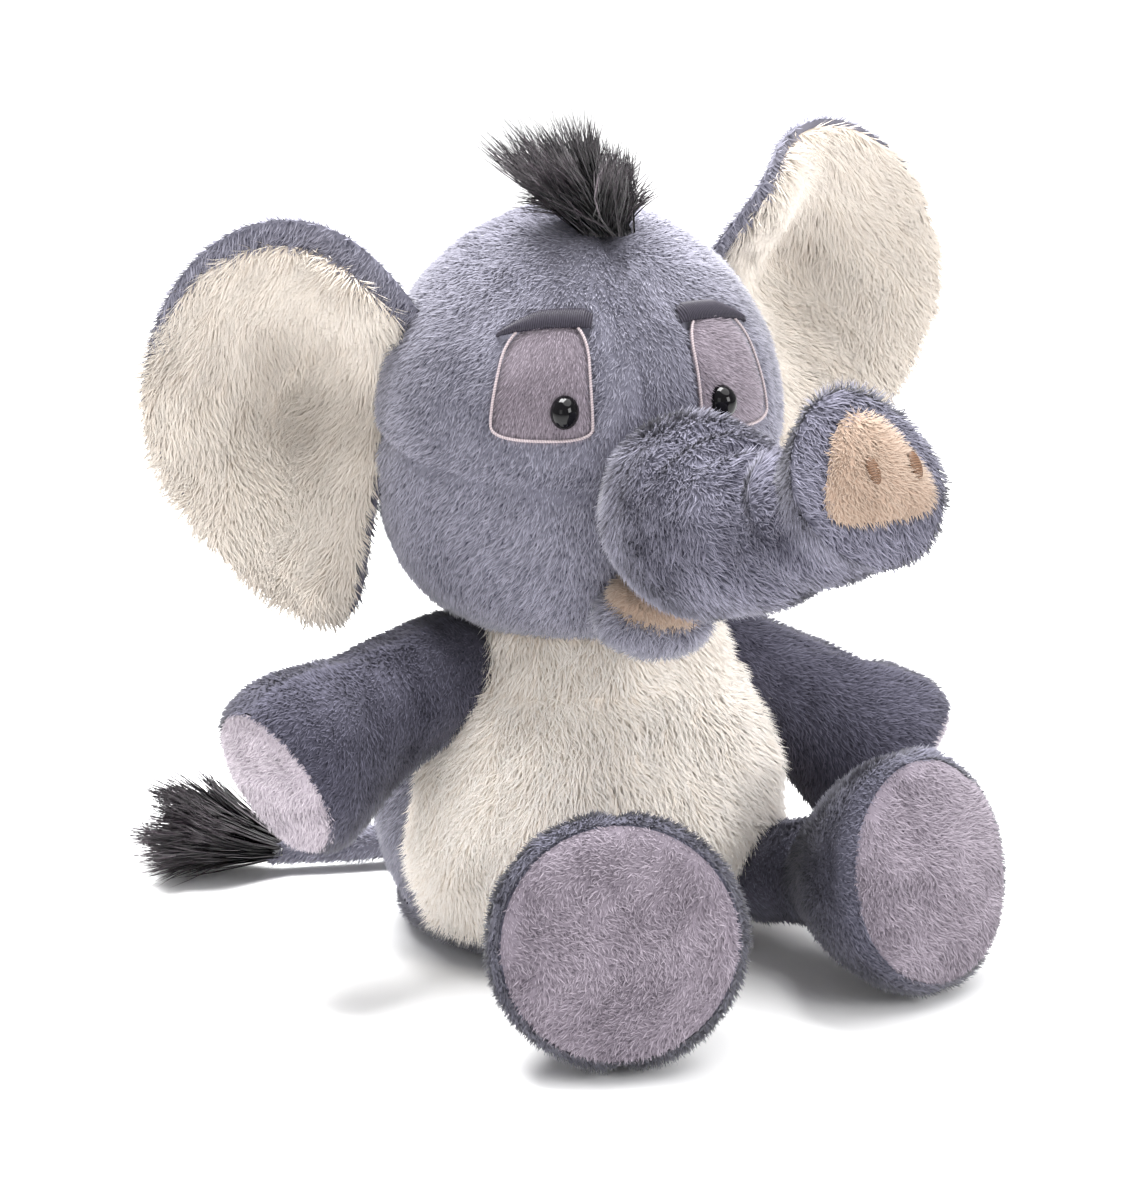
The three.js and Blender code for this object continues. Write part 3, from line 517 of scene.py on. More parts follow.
def on_ball(angle, climb):
    """A point of the head: angle round it from the front, climb up it. Its share of the height is
    sin(climb), and its share of the width is the cosine above, and below (1 - s^3)^(1/3)."""
    s = np.sin(climb)
    wide = np.where(s >= 0, np.cos(climb), np.maximum(1 - np.abs(s) ** 3, 0) ** (1 / 3))
    return NECK + np.stack([HEAD_WIDE * wide * np.sin(angle), -HEAD_WIDE * wide * np.cos(angle),
                            HEAD_TALL * s], -1)


def ball_rows(start, end, rows, power=1.0):
    return start + (end - start) * np.linspace(0, 1, rows)[:, None] ** power


# The eyes: each has a middle direction, an outward and an upward axis on the head.
EYE_AZIMUTH, EYE_RISE = np.radians(29), np.radians(21)


def eye_axes(sign):
    out = np.array([sign * np.sin(EYE_AZIMUTH) * np.cos(EYE_RISE),
                    -np.cos(EYE_AZIMUTH) * np.cos(EYE_RISE), np.sin(EYE_RISE)])
    across = unit(np.cross([0, 0, 1.0], out)) * sign
    return out, across, np.cross(out, across) * sign


def eye_flat(P, sign):
    """Across and up on an eye's own plane."""
    out, across, up = eye_axes(sign)
    q = P - NECK
    ahead = (q @ out) > 0
    return np.where(ahead, q @ across, 99), q @ up


def eye_dent(P):
    """Round each eye patch the plush bulges into a soft rim, and under the patch it sinks a little."""
    push = np.zeros(P.shape[:-1])
    for sign in (1, -1):
        x, y = eye_flat(P, sign)
        reach = np.maximum(np.abs(x) / (13.2 - 0.115 * y), np.abs(y - 1) / 19.5)
        rim = 1.5 * hill(reach - 1.3, 0.26) * hill(np.maximum(y - 12, 0), 9)
        push += rim - 0.8 * hill(np.maximum(reach - 0.4, 0), 0.5)
    return push


def head_panel(angle, climb):
    """The ball, pushed out and in round the eyes, and drawn in along the forehead's middle seam and, a
    little, beside the mouth."""
    P = on_ball(angle, climb)
    N = normals_of(P, NECK)
    front = hill(angle, 0.10) * hill(climb - 0.9, 0.7)
    beside = np.abs(angle) - 0.62
    smile = hill(climb + 0.50 + 0.25 * beside**2, 0.03) * hill(beside, 0.14)
    return P + N * (eye_dent(P) - 1.4 * front - 1.6 * smile)[..., None], N


head_panels = {}
for side, sign in (("left", 1), ("right", -1)):
    angle = np.linspace(0, sign * np.pi, 92)[None]
    seam = np.arcsin(head_height(angle))
    share = np.linspace(0, 1, 56)[:, None]
    head_panels[f"forehead_{side}"] = head_panel(angle, seam + (np.pi / 2 - seam) * share)
    head_panels[f"cheek_{side}"] = head_panel(angle, seam + (-np.pi / 2 - seam) * share)
print("head panels", {k: v[0].shape for k, v in head_panels.items()})

# %% [markdown]
# ## The trunk's form
# The trunk is a round tube bent along a smooth centre line, with a ball at its root that turns in the
# head, a narrow neck and a flared, upturned tip. Its cross-section is a circle carried along the line.

# %% The trunk's form
TRUNK_PIVOT = unturned(seat_of("trunk_lift"))
ROOT_RADII = np.array([25.5, 29.0, 29.0])
TRUNK_ROUTE = np.array([[3, -97, 150], [8.2, -117, 150.5], [16.4, -134, 153.5], [24, -147, 160.5],
                        [28.5, -156, 171]], float)
TRUNK_OUTLINE = [[0, 22], [6, 24.6], [16, 25.6], [28, 23.0], [40, 19.8], [50, 19.6], [58, 22.8], [65, 26.2]]
TIP_WAY = np.array([np.sin(0.2443) * np.cos(0.5236), -np.cos(0.2443) * np.cos(0.5236), np.sin(0.5236)])
knots = run(TRUNK_ROUTE)
TRUNK_LONG = knots[-1] * 1.012
TIP_DOME = 7.0


def trunk_line(s):
    """Centre, forward, level and upright directions at a distance along the trunk."""
    at = np.clip(s, 0, TRUNK_LONG) / TRUNK_LONG * knots[-1]
    route = [np.stack([knots, TRUNK_ROUTE[:, k]], 1) for k in range(3)]
    point = np.stack([easy_line(r, at) for r in route], -1)
    ahead = np.stack([easy_line(r, at + 0.5) - easy_line(r, at - 0.5) for r in route], -1)
    share = (at / knots[-1])[..., None] ** 3
    ahead = unit(unit(ahead) * (1 - share) + TIP_WAY * share)
    point = point + ahead * (s - np.clip(s, 0, TRUNK_LONG))[..., None]
    level = unit(np.cross(ahead, [0, 0, 1.0]))
    return point, ahead, level, np.cross(level, ahead)


def trunk_point(s, angle):
    """Radius: the larger, smoothly, of the root ball's and the tube's, and past the end a dome's."""
    point, _, level, upright = trunk_line(s)
    stretch = TRUNK_LONG / TRUNK_OUTLINE[-1][0]
    tube = easy_line([[x * stretch, r] for x, r in TRUNK_OUTLINE], np.clip(s, 0, TRUNK_LONG))
    tube = np.where(s < 0, 0, tube)
    ball = np.sqrt(np.maximum(1 - (s / 29) ** 2, 0))
    radii = []
    for full in (ROOT_RADII[0], ROOT_RADII[2]):
        radii.append((np.maximum(ball * full, 0) ** 8 + tube ** 8) ** (1 / 8))
    past = np.clip((s - TRUNK_LONG) / TIP_DOME, 0, 1)
    close = np.sqrt(1 - past**2)
    taper = hill(s - TRUNK_LONG - 3, 14) * 0.16 * np.maximum(np.sin(angle), 0)
    x = radii[0] * close * np.cos(angle) * (1 - taper)
    z = radii[1] * close * np.sin(angle)
    return point + level * x[..., None] + upright * z[..., None]


trunk_rows = np.concatenate([-29 * np.cos(np.linspace(0, np.pi / 2, 14))[:-1] * 0.9999,
                             np.linspace(0, TRUNK_LONG, 58)[:-1],
                             TRUNK_LONG + TIP_DOME * np.sin(np.linspace(0, np.pi / 2, 16))])
trunk_rows, trunk_round = np.meshgrid(trunk_rows, np.linspace(-np.pi / 2, 1.5 * np.pi, 145), indexing="ij")
trunk_bag = trunk_point(trunk_rows, trunk_round)
trunk_bag[0] = trunk_bag[0].mean(0)
trunk_out = normals_of(trunk_bag, trunk_line(trunk_rows)[0])


def trunk_folds(s, angle):
    """Folds where the trunk bends up: valleys that run round its top and sides, deepest outside."""
    fold = np.zeros_like(s)
    for at, slant, wide, deep, start, reach in (
            (28, 6, 2.4, 2.3, 1.9, 0.9), (37, -5, 2.2, 1.8, 1.0, 0.8), (43, 5, 2.0, 1.5, 2.5, 0.8),
            (50, -3, 2.2, 1.4, 1.3, 0.7), (12, 4, 3.0, 1.3, 1.2, 0.8), (34, 4, 2.0, 1.3, -0.3, 0.6)):
        fold += 1.5 * deep * hill(s - at - slant * (angle - start), wide) * hill(angle - start, reach)
    swell = 0.9 * np.sin(s * 0.30 + 2 * np.sin(angle)) * hill(s - 40, 16)
    return swell - fold


trunk_bag = trunk_bag + trunk_out * trunk_folds(trunk_rows, trunk_round)[..., None]
trunk_out = normals_of(trunk_bag, trunk_line(trunk_rows)[0])
print("trunk", round(float(TRUNK_LONG), 1), "mm along its middle")

# %% [markdown]
# ## Arms and legs
# Each limb is a bag that starts as a ball in its socket and flares towards a domed pad. The paw is a
# little narrower than it is tall. The same function makes all four from an outline.

# %% The limbs' form
ARM = {"outline": [[0, 18.5], [8, 18.6], [25, 20.2], [42, 23.2], [56, 27.6], [67, 29.2], [73, 27.6]],
       "root": 18.5, "dome": 5.3, "narrow": 0.84}
ARM_NEAR = ARM | {"outline": [[0, 18.5], [8, 19.2], [25, 21.2], [42, 24], [54, 27.6], [64.5, 29.2],
                              [70.5, 27.6]]}
LEG = {"outline": [[0, 17], [8, 16.6], [18, 18], [30, 24], [43, 32], [54.5, 36.6], [60.5, 37.3], [64.3, 35.8]],
       "root": 17.0, "dome": 6.7, "narrow": 1.0}
LIMB_COLUMNS = 120


def hang(along, long, bend):
    """How far a limb's middle line has tilted and dropped: the tilt grows as the square of the share of
    its length, and the drop is the integral of the tilt."""
    share = np.clip(along / long, 0, 1)
    return bend * share**2, bend * long * share**3 / 3


def limb(shape, seat, end, bend, folds):
    """Rows: a quarter ball behind the seat, the flaring outline, then a dome (1 - (r / rim)^2)^(1/2).
    Returns the grid, its normals, the row where the pad starts, and the limb's own axes."""
    ahead = unit(np.array(end, float) - seat)
    level = unit(np.cross(ahead, [0, 0, 1.0]))
    axes = (ahead, level, np.cross(level, ahead))
    long, rim = shape["outline"][-1]
    behind = np.linspace(0, np.pi / 2, 12)[:-1]
    tube = np.linspace(0, long, 50)[:-1]
    over = np.linspace(0, np.pi / 2, 30)
    along = np.concatenate([-shape["root"] * np.cos(behind), tube, long + shape["dome"] * np.sin(over)])
    radius = np.concatenate([shape["root"] * np.sin(behind), easy_line(shape["outline"], tube),
                             rim * np.cos(over)])
    radius[-1] = 0
    angle = np.linspace(-np.pi / 2, 1.5 * np.pi, LIMB_COLUMNS + 1)[None]
    press = 1 + (shape["narrow"] - 1) * np.clip((along - shape["root"]) / (long - shape["root"]), 0, 1)
    x = radius[:, None] * np.cos(angle) * press[:, None]
    z = radius[:, None] * np.sin(angle)
    tilt, drop = (v[:, None, None] for v in hang(along, long, bend))
    onward = ahead * np.cos(tilt) - axes[2] * np.sin(tilt)
    upright = axes[2] * np.cos(tilt) + ahead * np.sin(tilt)
    middle = (seat + ahead * np.minimum(along, long)[:, None, None] - axes[2] * drop
              + onward * np.maximum(along - long, 0)[:, None, None])
    P = middle + x[..., None] * level + z[..., None] * upright
    N = normals_of(P, middle)
    s, a = np.broadcast_arrays(along[:, None], angle)
    push = 0.7 * drift(P, 46, 5) * np.clip(s / 20, 0, 1)
    for at, slant, wide, deep, start, reach in folds:
        push = push - deep * hill(s - at - slant * (a - start), wide) * hill(a - start, reach)
    P = P + N * push[..., None]
    return P, normals_of(P, middle), len(behind) + len(tube) + 6, axes


limbs = {
    "arm_left": (ARM, seat_of("arm_raise_left"), [99, -42, 46], 0.06,
                 [(46, 30, 3.2, 3.4, 1.9, 0.55), (30, -8, 2.5, 1.3, 0.4, 0.6)]),
    "arm_right": (ARM_NEAR, seat_of("arm_raise_right") + [-1, 0, 5], [-110, -34, 72], 0.2,
                  [(52, 14, 3.0, 2.2, 0.1, 0.5), (36, -10, 2.6, 1.4, 1.2, 0.6), (22, 6, 2.4, 1.0, 0.2, 0.7)]),
    "leg_left": (LEG, seat_of("leg_lift_left"), [62.5, -121, 40.6], 0.0,
                 [(22, 6, 3.0, 1.6, 1.0, 0.8), (34, -6, 3.0, 1.2, 2.6, 0.7)]),
    "leg_right": (LEG, seat_of("leg_lift_right"), [-50, -136.5, 41.2], 0.0,
                  [(20, 6, 3.0, 1.4, 1.6, 0.8), (34, -6, 3.0, 1.1, 2.8, 0.7)]),
}
limb_forms = {name: limb(*given) for name, given in limbs.items()}


def inside_limb(P, name, margin):
    """Whether a point is deeper in a limb than the margin: its distance from the limb's axis is less
    than the outline's radius there."""
    shape, seat, _, bend, _ = limbs[name]
    ahead, level, upright = limb_forms[name][3]
    q = P - seat
    s = q @ ahead
    q = q + upright * hang(s, shape["outline"][-1][0], bend)[1][..., None]
    radius = easy_line(shape["outline"], np.clip(s, 0, shape["outline"][-1][0]))
    radius = np.where(s < 0, np.sqrt(np.maximum(shape["root"] ** 2 - s**2, 0)), radius)
    return (np.hypot(q @ level, q @ upright) < radius - margin) & (s < shape["outline"][-1][0] + 4)


print("limbs", {k: v[0].shape for k, v in limb_forms.items()})

# %% [markdown]
# ## The torso
# A pear that is widest just above the floor, whose middle leans back to front as it rises to the neck.
# The cream belly panel is bounded by the plane of the side seams, so its edge angle changes with the
# height, and the columns of the grid follow that seam.

# %% The torso's form
TORSO = [[0, 38], [4, 50], [14, 58], [27, 62.5], [42, 64], [57, 61], [72, 54], [87.3, 44]]
TORSO_TOP, TORSO_DEEP, BELLY_SEAM, SEAT_SEAM = 87.3, 0.96, -17.0, 9.0


def torso_middle(z):
    return -7 - 12 * (np.clip(z, 0, TORSO_TOP) / TORSO_TOP) ** 1.3


def torso_point(z, angle, radius=None):
    """Radius from the outline at that height; the angle is 0 in front and grows to the left side."""
    r = easy_line(TORSO, z) if radius is None else radius
    return np.stack([r * np.sin(angle), torso_middle(z) - TORSO_DEEP * r * np.cos(angle), z], -1)


def inside_torso(P, margin):
    r = easy_line(TORSO, np.clip(P[..., 2], 0, TORSO_TOP))
    q = (P[..., 1] - torso_middle(P[..., 2])) / TORSO_DEEP
    return (np.hypot(P[..., 0], q) < r - margin) & (P[..., 2] < TORSO_TOP)


heights = np.linspace(SEAT_SEAM, TORSO_TOP, 64)[:, None]
seam_ahead = (torso_middle(heights) - BELLY_SEAM) / (TORSO_DEEP * easy_line(TORSO, heights))
belly_edge = np.arccos(np.clip(seam_ahead, -1, 1))
across_belly = np.linspace(-1, 1, 120)[None]
across_back = np.linspace(0, 1, 70)[None]
torso_axis = np.stack([np.zeros(64), torso_middle(heights[:, 0]), heights[:, 0]], -1)[:, None]


def torso_panel(angle):
    z = np.broadcast_to(heights, angle.shape)
    P = torso_point(z, angle)
    N = normals_of(P, torso_axis)
    P = P + N * (0.9 * drift(P, 60, 8) + 0.5 * drift(P, 25, 9))[..., None]
    return P, normals_of(P, torso_axis)


torso_panels = {
    "belly_panel": torso_panel(belly_edge * across_belly),
    "body_back_left": torso_panel(belly_edge + (np.pi - belly_edge) * across_back),
    "body_back_right": torso_panel(-belly_edge - (np.pi - belly_edge) * across_back),
}
FLAT_SHARE, CURVED_SHARE = 0.55, 0.45    # shares of the seat panel's rows: flat on the floor, then rising
seat_share = np.linspace(0, 1, 30)[:, None]
flat = np.clip(seat_share / FLAT_SHARE, 0, 1) * TORSO[0][1]
lift = np.clip((seat_share - FLAT_SHARE) / CURVED_SHARE, 0, 1) * SEAT_SEAM
seat_radius = np.where(seat_share < FLAT_SHARE, flat, easy_line(TORSO, lift))
seat_P = torso_point(*np.broadcast_arrays(lift, np.linspace(0, 2 * np.pi, 145)[None], seat_radius))
seat_P[0] = [0, torso_middle(0), 0]
seat_N = normals_of(seat_P, np.array([0, -7, 12.0]))

# %% [markdown]
# ## Pile on the body
# The nap runs down the body and along each limb. Tufts whose roots would be hidden inside another part
# are left out, which saves them for where they show.

# %% The torso's pieces
def hidden_by_limbs(P, margin=3.0):
    return np.any([inside_limb(P, name, margin) for name in limbs], axis=0)


def down(P):
    return np.tile([0, 0, -1.0], (len(P), 1))


def inside_ball(P, centre, radii):
    return (((P - centre) / np.array(radii)) ** 2).sum(-1) < 1


def torso_keep(P):
    return ~hidden_by_limbs(P) & ~inside_ball(P, seat_of("tail_swing"), (5, 5, 5))


LONG_PILE = {"per_mm2": 2.1, "long": 6.6, "wide": 0.6, "lean": 62, "swirl": 0.55}
for name, (P, N) in torso_panels.items():
    S, near = sewn(P, N, "023")
    if name == "belly_panel":
        pile = plant(S, N, down, 11, **LONG_PILE, keep=torso_keep, loose=0.35, shaded_root_rise=0.25, near=near)
        piece(name, [skin(S, N), pile], cream, "torso", [name])
    else:
        pile = plant(S, N, down, 12 + ("left" in name), keep=torso_keep, per_mm2=1.35, near=near)
        piece(name, [skin(S, N), pile], grey, "torso", [name])

S, near = sewn(seat_P, seat_N, "1", inset=0.3)
S[..., 2] = np.maximum(S[..., 2], FLOOR_GAP)
pile = plant(S, seat_N, lambda P: P * [1, 1, 0] + [0, 7, 0.01], 15, long=2.8, near=near,
             keep=lambda P: (P[:, 2] > 1) & torso_keep(P))
piece("seat_panel", [skin(S, seat_N), pile], grey, "torso", ["seat_panel"])

# The neck: a collar of plush under the chin, of which the part in front is cream like the belly. Its
# columns are turned half round first, so that the front lies in the middle of the grid.
ring = np.linspace(0, 2 * np.pi, 121)[None]
rise = np.linspace(0, 1, 16)[:, None]
collar_r = 44 - 6.5 * rise + 0 * ring
collar_P = np.stack([collar_r * np.sin(ring), NECK[1] - 0.97 * collar_r * np.cos(ring),
                     85.5 + 19 * rise + 0 * ring], -1)
collar_N = normals_of(collar_P, np.array([0, NECK[1], 96]))
collar_P, collar_N = np.roll(collar_P[:, :-1], 60, 1), np.roll(collar_N[:, :-1], 60, 1)
collar_P, collar_N = (np.concatenate([G, G[:, :1]], 1) for G in (collar_P, collar_N))
for name, cols, finish, slot, pile_of in (
        ("neck_front", [slice(29, 92)], cream, "plush_cream", LONG_PILE),
        ("neck_collar", [slice(0, 30), slice(91, None)], grey, "plush_grey", {"per_mm2": 1.6})):
    shells = []
    for part_cols in cols:
        Q, M = collar_P[:, part_cols], collar_N[:, part_cols]
        S, near = sewn(Q, M, "", depth=0)
        shells += [skin(S, M), plant(S, M, down, 16, **pile_of)]
    piece(name, shells, finish, "torso", ["neck_collar"])
print("torso", triangles)

# %% The limbs' pieces
SOLES = {"arm_left": "paw_pad_left", "arm_right": "paw_pad_right", "leg_left": "sole_left",
         "leg_right": "sole_right"}
LIMB_HALF = LIMB_COLUMNS // 2
for k, (name, (P, N, pad, (ahead, _, upright))) in enumerate(limb_forms.items()):
    arm = name.startswith("arm")
    for letter, cols in (("a", slice(0, LIMB_HALF + 1)), ("b", slice(LIMB_HALF, None))):
        Q, M = P[: pad + 1, cols], N[: pad + 1, cols]
        S, near = sewn(Q, M, "123", depth=1.3)
        S[..., 2] = np.maximum(S[..., 2], FLOOR_GAP)
        pile = plant(S, M, lambda p: np.tile(ahead + [0, 0, -0.25], (len(p), 1)), 20 + 2 * k + (letter == "b"),
                     keep=lambda p: ~inside_torso(p, 2.5), per_mm2=1.6, long=2.9, near=near)
        panel = f"{name}_skin_{letter}"
        piece(panel, [skin(S, M), pile], shaded_arm_grey if arm else shaded_leg_grey, name, [panel])
    Q, M = P[pad:], N[pad:]
    S, near = sewn(Q, M, "0", depth=1.5, reach=3.0, inset=1.2)
    pile = plant(S, M, lambda p: np.tile(-upright, (len(p), 1)), 30 + k, per_mm2=1.8, long=2.7, wide=0.58,
                 lean=54, swirl=1.0, loose=0.5, near=near)
    sole = SOLES[name]
    piece(sole, [skin(S, M), pile], paw_lilac if arm else lilac, name, [sole])
print("limbs", sum(triangles.values()), "triangles so far")

# %% The head's panels
ROOTS = {"left": seat_of("ear_fold_left"), "right": seat_of("ear_fold_right")}


def rounded(corners, count, passes=3):
    """Corner cutting: each pass puts two points on every side, at a quarter and at three quarters; then
    points are picked at equal steps along it."""
    for _ in range(passes):
        after = np.roll(corners, -1, 0)
        corners = np.stack([0.75 * corners + 0.25 * after, 0.25 * corners + 0.75 * after], 1).reshape(-1, 2)
    closed = np.concatenate([corners, corners[:1]])
    way = run(closed)
    at = np.linspace(0, way[-1], count)
    return np.stack([np.interp(at, way, closed[:, k]) for k in (0, 1)], -1)


def within(x, y, edge, margin):
    """Whether a flat point is inside an outline: nearer its middle than the outline is that way."""
    middle = edge[:-1].mean(0)
    out = edge - middle
    angle = np.arctan2(out[:, 1], out[:, 0])
    order = np.argsort(angle)
    reach = np.interp(np.arctan2(y - middle[1], x - middle[0]), angle[order], np.hypot(*out[order].T),
                      period=2 * np.pi)
    return np.hypot(x - middle[0], y - middle[1]) < reach + margin


patch_edge = rounded(np.array([[-10.6, 18], [-14.0, -9], [-14.0, -17], [14.2, -17.4], [14.6, -9],
                               [10.4, 15.5]]), 161)


def lid_edges(u):
    """The lid's lower and upper line over its width, u from its inner end, which is blunt, to its outer."""
    low = 15.0 - 3.4 * u + 3.0 * u * (1 - u)
    return low, low + 5.8 * np.clip(1.3 - 1.15 * u**2.2, 0, 1) * np.clip(0.72 + 3 * u, 0, 1)


LID_INNER, LID_WIDE = -12.4, 27.2


def in_eye(P):
    """Whether a point of the head lies under an eye patch or its lid."""
    under = np.zeros(len(P), bool)
    for sign in (1, -1):
        x, y = eye_flat(P, sign)
        under |= within(x, y, patch_edge, -0.5)
        u = (x - LID_INNER) / LID_WIDE
        low, high = lid_edges(np.clip(u, 0, 1))
        under |= (u > 0.02) & (u < 0.98) & (y > low - 1) & (y < high - 0.4)
    return under


def head_keep(P):
    trunk = inside_ball(P, TRUNK_PIVOT, ROOT_RADII - 2.5)
    return ~(trunk | in_eye(P) | ((P[:, 2] < 112) & (np.hypot(P[:, 0], P[:, 1] + 19) < 30)))


def head_nap(P):
    """Away from the top of the forehead and from the trunk, and down the cheeks."""
    q = P - NECK
    from_trunk = unit(P - TRUNK_PIVOT) * hill(np.linalg.norm(P - TRUNK_PIVOT, axis=1), 60)[:, None]
    return np.array([0, 0, -1.0]) + unit(q * [1, 0.3, 0]) * 0.45 + from_trunk * 0.8


for k, (name, (P, N)) in enumerate(head_panels.items()):
    S, near = sewn(P, N, "023", depth=1.9, reach=2.4)
    long = 2.6 if "forehead" in name else 3.1
    pile = plant(S, N, head_nap, 40 + k, keep=head_keep, per_mm2=1.9, wide=0.58, long=long, near=near)
    piece(name, in_place([skin(S, N), pile], HEAD_SHIFT), grey, "head", [name])

# %% The trunk's panels and the nose pad
def trunk_nap(P):
    """Along the trunk and down its sides."""
    s = np.clip((P - TRUNK_PIVOT) @ unit(TRUNK_ROUTE[-1] - TRUNK_ROUTE[0]), 0, TRUNK_LONG)
    return trunk_line(s)[1] + np.array([0, 0, -0.75])


def head_hides(P):
    """Whether a point, worked out looking straight ahead, is well inside the visible head's ball."""
    q = P - HEAD_SHIFT @ turn_head - NECK
    s = np.clip(q[..., 2] / HEAD_TALL, -1, 1)
    wide = np.where(s >= 0, np.sqrt(1 - s**2), (1 - np.abs(s) ** 3) ** (1 / 3))
    return np.hypot(q[..., 0], q[..., 1]) < HEAD_WIDE * wide - 2.5


def nose_flat(P):
    """Level and upright place on the trunk's end."""
    centre, ahead, level, upright = trunk_line(np.array([TRUNK_LONG]))
    q = P - centre
    return q @ level[0], q @ upright[0], q @ ahead[0]


nose_edge = rounded(np.array([[-19.2, -13.5], [19.2, -13.5], [16.5, -1], [8, 14], [0, 17.5], [-8, 14],
                              [-16.5, -1]]), 97)


def in_nose(P, margin=0.0):
    x, y, ahead = nose_flat(P)
    return within(x, y, nose_edge, margin) & (ahead > -8)


TRUNK_HALF = 72
for k, (name, cols) in enumerate((("trunk_skin_right", slice(0, TRUNK_HALF + 1)),
                                  ("trunk_skin_left", slice(TRUNK_HALF, None)))):
    S, near = sewn(trunk_bag[:, cols], trunk_out[:, cols], "", depth=0)
    M = trunk_out[:, cols]
    pile = plant(S, M, trunk_nap, 50 + k, keep=lambda p: ~head_hides(p) & ~in_nose(p, -0.3), per_mm2=2.0,
                 long=3.9, wide=0.6, lean=62, swirl=0.5, loose=0.35)
    piece(name, in_place([skin(S, M), pile]), shaded_trunk_grey, "trunk", [name])


def tip_point(x, y, lift):
    """A point over the trunk's end: the dome TIP_DOME (1 - (r / rim)^2)^(1/2) above the end's plane."""
    centre, ahead, level, upright = (v[0] for v in trunk_line(np.array([TRUNK_LONG])))
    rim = TRUNK_OUTLINE[-1][1]
    dome = TIP_DOME * np.sqrt(np.maximum(1 - (x**2 + y**2) / rim**2, 0))
    return centre + x[..., None] * level + y[..., None] * upright + (dome + lift)[..., None] * ahead


def label(edge, at, rows=26):
    """A patch: rows run from the middle to the outline, and at(x, y, share) puts them in place."""
    share = np.linspace(0, 1, rows)[:, None]
    middle = edge[:-1].mean(0)
    x, y = (middle[k] + share * (edge[None, :, k] - middle[k]) for k in (0, 1))
    return at(x, y, share + 0 * x)


nose_P = label(nose_edge, lambda x, y, r: tip_point(x, y, 0.4 - 1.6 * r**6))
BEHIND_NOSE = tip_point(np.zeros(1), np.zeros(1), -20)[0]
NOSE_TOP = tip_point(np.zeros(1), np.full(1, 16.0), 0)[0]
nose_N = normals_of(nose_P, BEHIND_NOSE)
pile = plant(nose_P, nose_N, lambda p: p - NOSE_TOP, 55, per_mm2=2.6, long=2.6, wide=0.5, lean=55, swirl=0.5)
piece("nose_pad", in_place([skin(nose_P, nose_N), pile]), peach, "trunk", ["nose_pad"])
print("head and trunk", sum(triangles.values()), "triangles so far")

# %% [markdown]
# ## Embroidery
# The lids and nostrils are satin stitch: threads laid side by side over a soft base. The stitches are
# ridges of the surface itself, a fraction of a millimetre high, and the same wave is the attribute
# `rise`, so that the finish is painted darker between threads, as shade. The eye patches have a very short
# lilac pile.

# %% Stitched patches
def on_head(x, y, sign, lift):
    """From an eye's plane straight onto the head: the positive root of the quadratic for an ellipsoid."""
    out, across, up = eye_axes(sign)
    radii = np.array([HEAD_WIDE, HEAD_WIDE, HEAD_TALL])
    start = (x[..., None] * across + y[..., None] * up) / radii
    ray = out / radii
    a, b, c = (ray**2).sum(), dot(start, ray)[..., 0], dot(start, start)[..., 0] - 1
    reach = (-b + np.sqrt(np.maximum(b**2 - a * c, 0))) / a
    return NECK + x[..., None] * across + y[..., None] * up + (reach + lift)[..., None] * out


def satin(P, N, wave, height, thick=1.0):
    """Ridges: the surface goes up by height times the wave, and rise takes the wave."""
    ridged = P + N * (height * wave)[..., None]
    made = skin(ridged, N, thick, 0.5, (0, 1))
    # Painted shade: the wave is also the colour's share, darker in the dips between threads.
    made["rise"][: wave.size] = wave.ravel()
    behind = P.mean((0, 1)) - N.mean((0, 1)) * 40
    made["normal"][: wave.size] = normals_of(ridged, behind).reshape(-1, 3)
    return made


def bead_seat(sign):
    """Where an eye's bead stands on the head: 6.5 mm inwards and 9.5 mm down on the eye's own plane."""
    return on_head(np.array([-6.5]), np.array([-9.5]), sign, 0.0)[0]


for side, sign in (("left", 1), ("right", -1)):
    eye_P = label(patch_edge, lambda x, y, r: on_head(x, y, sign, 0.1 - 0.8 + 1.1 * (1 - r**8) - 0.5 * r**2),
                  rows=46)
    eye_N = normals_of(eye_P, NECK)
    eye_way = eye_axes(sign)[1] * (0.9 if sign > 0 else 0.1) - [0, 0, 1.0]
    pile = plant(eye_P, eye_N, lambda p: np.tile(eye_way, (len(p), 1)), 60 + sign, per_mm2=3.4, long=2.2,
                 wide=0.42, lean=66, swirl=0.16, loose=0.12,
                 keep=lambda p: np.linalg.norm(p - bead_seat(sign), axis=1) > 3.4)
    piece(f"eye_patch_{side}", in_place([skin(eye_P, eye_N, 0.8), pile], HEAD_SHIFT), patch_lilac, "head",
          [f"eye_patch_{side}"])

# %% Lids, outline threads, beads and nostrils
def cord_tube(path, radius, twist, out, steps=10):
    """A thread along a path: a circle of the radius, which swells and thins with the twist's wave."""
    ahead = unit(np.gradient(path, axis=0))
    side = unit(np.cross(ahead, out))
    up = np.cross(side, ahead)
    angle = np.linspace(0, 2 * np.pi, steps + 1)[None]
    way = run(path)[:, None]
    wave = 0.5 + 0.5 * np.sin(way * twist + angle)
    r = radius * (0.78 + 0.3 * wave)
    r[[0, -1]] *= 0.02
    P = path[:, None] + r[..., None] * (np.cos(angle)[..., None] * side[:, None]
                                        + np.sin(angle)[..., None] * up[:, None])
    P[0], P[-1] = path[0], path[-1]
    made = skin(P, unit(P - path[:, None] + 1e-6 * up[:, None]), 0, 0.5, (0, 1))
    # Painted shade: rise takes the twist's wave, so the thread's colour is darker where it thins.
    made["rise"] = wave.ravel()
    return made


